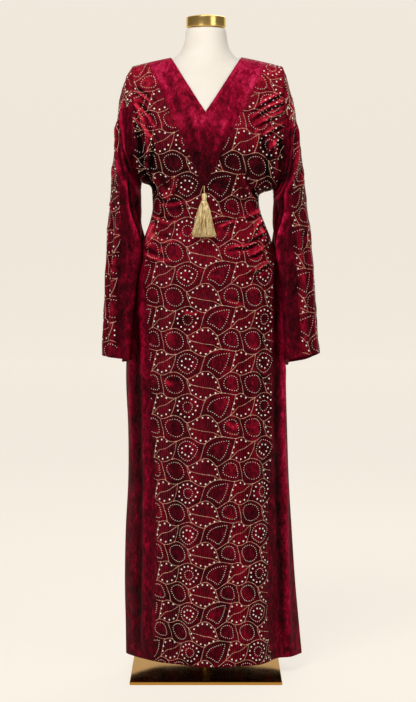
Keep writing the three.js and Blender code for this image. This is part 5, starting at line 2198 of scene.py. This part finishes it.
@dataclass
class DressForm:
    """The limbless form: a jersey torso, its neck cap, its pole and its plate."""

    nodes: dict[str, Object]
    brass: PolishedBrass = PolishedBrass("brass_polished")
    mirror: PolishedBrass = PolishedBrass(
        "brass_mirror_plated", "B8863C", roughness=0.1, edge="EFE4CC", smudge=0.04, mark_depth=0.02
    )
    cap_radius: float = 47.2
    cap_bottom: float = 1529.6
    cap_band: float = 24.4
    cap_dome: float = 6.2
    cap_lip: float = 1.4
    weld: float = 0.05
    voxel: float = 5.0

    def build(self) -> None:
        """Build the torso and the cap, and finish the pole and the plate."""
        self.torso()
        brass = self.brass.build()
        self.cap(brass)
        for node, material in (("form_pole", brass), ("base_plate", self.mirror.build())):
            dress(self.nodes[node], material)

    def torso(self) -> None:
        """Build the torso as one smooth shell of jersey over a hard form."""
        obj = link_object("form_torso_jersey", self.nodes["form_torso"].data.copy())
        obj.modifiers.new("weld", "WELD").merge_threshold = self.weld * METRE
        remesh = obj.modifiers.new("remesh", "REMESH")
        remesh.mode, remesh.voxel_size = "VOXEL", self.voxel * METRE
        smooth = obj.modifiers.new("smooth", "SMOOTH")
        smooth.factor, smooth.iterations = 0.5, 8
        make_plain(obj)
        obj.data.shade_smooth()
        dress(obj, CottonJersey().build())
        settle(obj, "form_cover", "form_torso")

    def cap(self, brass: Material) -> None:
        """Build the neck cap, turned and polished, with a softened rim."""
        r, band, dome, lip = self.cap_radius, self.cap_band, self.cap_dome, self.cap_lip
        turn = np.radians(np.linspace(0, 90, 6))
        lower = np.stack([r - lip + lip * np.sin(turn), lip - lip * np.cos(turn)], axis=1)
        upper = np.stack([r - lip + lip * np.cos(turn), band - lip + lip * np.sin(turn)], axis=1)
        crown = np.array([(r * s, band + dome * (1 - s**2.2)) for s in np.linspace(0.94, 0.02, 16)])
        profile = np.vstack([[(0.0, 0.0)], lower, upper, crown, [(0.0, band + dome)]])
        obj = lathe("neck_cap_brass", profile, 96, self.cap_bottom)
        dress(obj, brass)
        settle(obj, "gold_metal", "neck_cap")


def lathe(name: str, profile: Array, sides: int, base: float) -> Object:
    """Turn a profile round the Z axis.

    Args:
        name: the piece's name.
        profile: radius and height of each point, from the bottom's middle to the top's.
        sides: how many sides the turned shape has.
        base: height of the profile's zero.

    Returns:
        The piece, with closed poles.
    """
    angles = np.arange(sides) * math.tau / sides
    rings = profile[1:-1]
    ring_points = [
        np.stack([r * np.cos(angles), r * np.sin(angles), np.full(sides, base + z)], axis=1) for r, z in rings
    ]
    points = np.vstack([*ring_points, [[0, 0, base + profile[0, 1]], [0, 0, base + profile[-1, 1]]]])
    around = [(i, (i + 1) % sides) for i in range(sides)]
    starts = range(0, (len(rings) - 1) * sides, sides)
    faces = [(k + i, k + j, k + sides + j, k + sides + i) for k in starts for i, j in around]
    bottom, top, last = len(points) - 2, len(points) - 1, (len(rings) - 1) * sides
    for i, j in around:
        faces += [(bottom, j, i), (top, last + i, last + j)]
    obj = mesh_object(name, points, faces)
    obj.data.set_sharp_from_angle(angle=math.radians(RIM_DEGREES))
    return obj


@dataclass(frozen=True)
class Softbox:
    """A square soft light: its place and what it is aimed at in metres, its size and its power in watts."""

    name: str
    place: tuple[float, float, float]
    aim: tuple[float, float, float]
    size: float
    power: float


@dataclass
class Studio:
    """Camera, lights, and a pale floor that curves up into a backdrop."""

    camera_place: tuple[float, float, float] = (0.0048, -4.6, 1.058)
    lens: float = 98.7
    shift_up: float = -0.1795
    paper: str = "8A857C"
    paper_shade: str = "837E76"
    glow: str = "F4EDE1"
    glow_strength: float = 0.85
    paper_size: float = 14000.0  # how far it reaches to each side, forwards, backwards and up
    paper_bend: float = 4000.0
    paper_below: float = 0.2
    room: str = "FFF8EE"
    room_strength: float = 0.17
    softboxes: tuple[Softbox, ...] = (
        Softbox("key_softbox", (-0.8, -2.2, 3.8), (0, 0, 1.1), 1.4, 74),
        Softbox("fill_right", (2.4, -2.6, 1.9), (0, 0, 0.9), 1.6, 15),
        Softbox("fill_low", (-1.6, -3.0, 0.7), (0, 0, 0.6), 1.4, 10),
        Softbox("back_softbox", (0.8, 2.2, 2.8), (0, 0, 1.0), 1.6, 18),
    )

    def build(self) -> None:
        """Build the studio."""
        scene = bpy.context.scene
        data = bpy.data.cameras.new("camera")
        data.lens, data.shift_y, data.clip_end = self.lens, self.shift_up, 50
        camera = link_object("camera", data)
        camera.location, camera.rotation_euler = self.camera_place, (math.pi / 2, 0, 0)
        scene.camera = camera
        scene.view_settings.view_transform = "Standard"
        self.lights()
        self.backdrop()

    def lights(self) -> None:
        """Build the soft lights: a large key from above, two fills, a back light and even light all round."""
        world = bpy.data.worlds.new("room")
        bpy.context.scene.world = world
        world.use_nodes = True
        tree = world.node_tree
        dim = tree.nodes["Background"]
        connect(dim, {"Color": linear(self.room), "Strength": self.room_strength})
        seen = add_node(tree, "ShaderNodeBackground", {"Color": linear(self.glow), "Strength": 1.0})
        straight = add_node(tree, "ShaderNodeLightPath").outputs["Is Camera Ray"]
        light, view = (node.outputs["Background"] for node in (dim, seen))
        both = add_node(tree, "ShaderNodeMixShader", {0: straight, 1: light, 2: view})
        connect(tree.nodes["World Output"], {"Surface": both.outputs["Shader"]})
        for box in self.softboxes:
            light = bpy.data.lights.new(box.name, "AREA")
            light.shape, light.size, light.energy = "SQUARE", box.size, box.power
            obj = link_object(box.name, light)
            obj.location = box.place
            obj.rotation_euler = (Vector(box.aim) - Vector(box.place)).to_track_quat("-Z", "Y").to_euler()

    def backdrop(self) -> None:
        """Build the floor and the backdrop, one sheet of pale paper."""
        size, bend = self.paper_size, self.paper_bend
        turn = np.radians(np.linspace(0, 90, 14))
        curve = np.stack([size - bend + bend * np.sin(turn), bend - bend * np.cos(turn)], axis=1)
        y, z = np.vstack([[(-size, 0.0)], curve, [(size, size)]]).T
        n, z = len(y), z - self.paper_below
        points = np.vstack([np.stack([np.full(n, x), y, z], axis=1) for x in (-size, size)])
        obj = mesh_object("paper_backdrop", points, [(i, i + n, i + 1 + n, i + 1) for i in range(n - 1)])
        material, shader, place, add = fresh_material("paper_matt")
        grain = add("ShaderNodeTexNoise", {"Vector": place, "Scale": 60.0}).outputs["Fac"]
        stops = ((0.0, self.paper_shade), (1.0, self.paper))
        colour = add("ShaderNodeValToRGB", {"Fac": grain}, stops).outputs["Color"]
        connect(shader, {
            "Base Color": colour,
            "Roughness": 0.95,
            "Emission Color": linear(self.glow),
            "Emission Strength": self.glow_strength,
        })
        dress(obj, material)
        obj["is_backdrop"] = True


def corners(box: tuple[Vector, Vector]) -> list[list[float]]:
    """Return a box as plain lists of numbers."""
    return [[float(c) for c in corner] for corner in box]


def main() -> None:
    """Build the whole object on the frame."""
    logging.basicConfig(level=logging.INFO, format="%(message)s")
    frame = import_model()
    cad_box = corners(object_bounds())
    Studio().build()
    DressForm(frame["nodes"]).build()
    Garment().build()
    Tassel().build()
    json.dumps({"cad": cad_box, "visual": corners(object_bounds())})


if __name__ == "__main__":
    main()
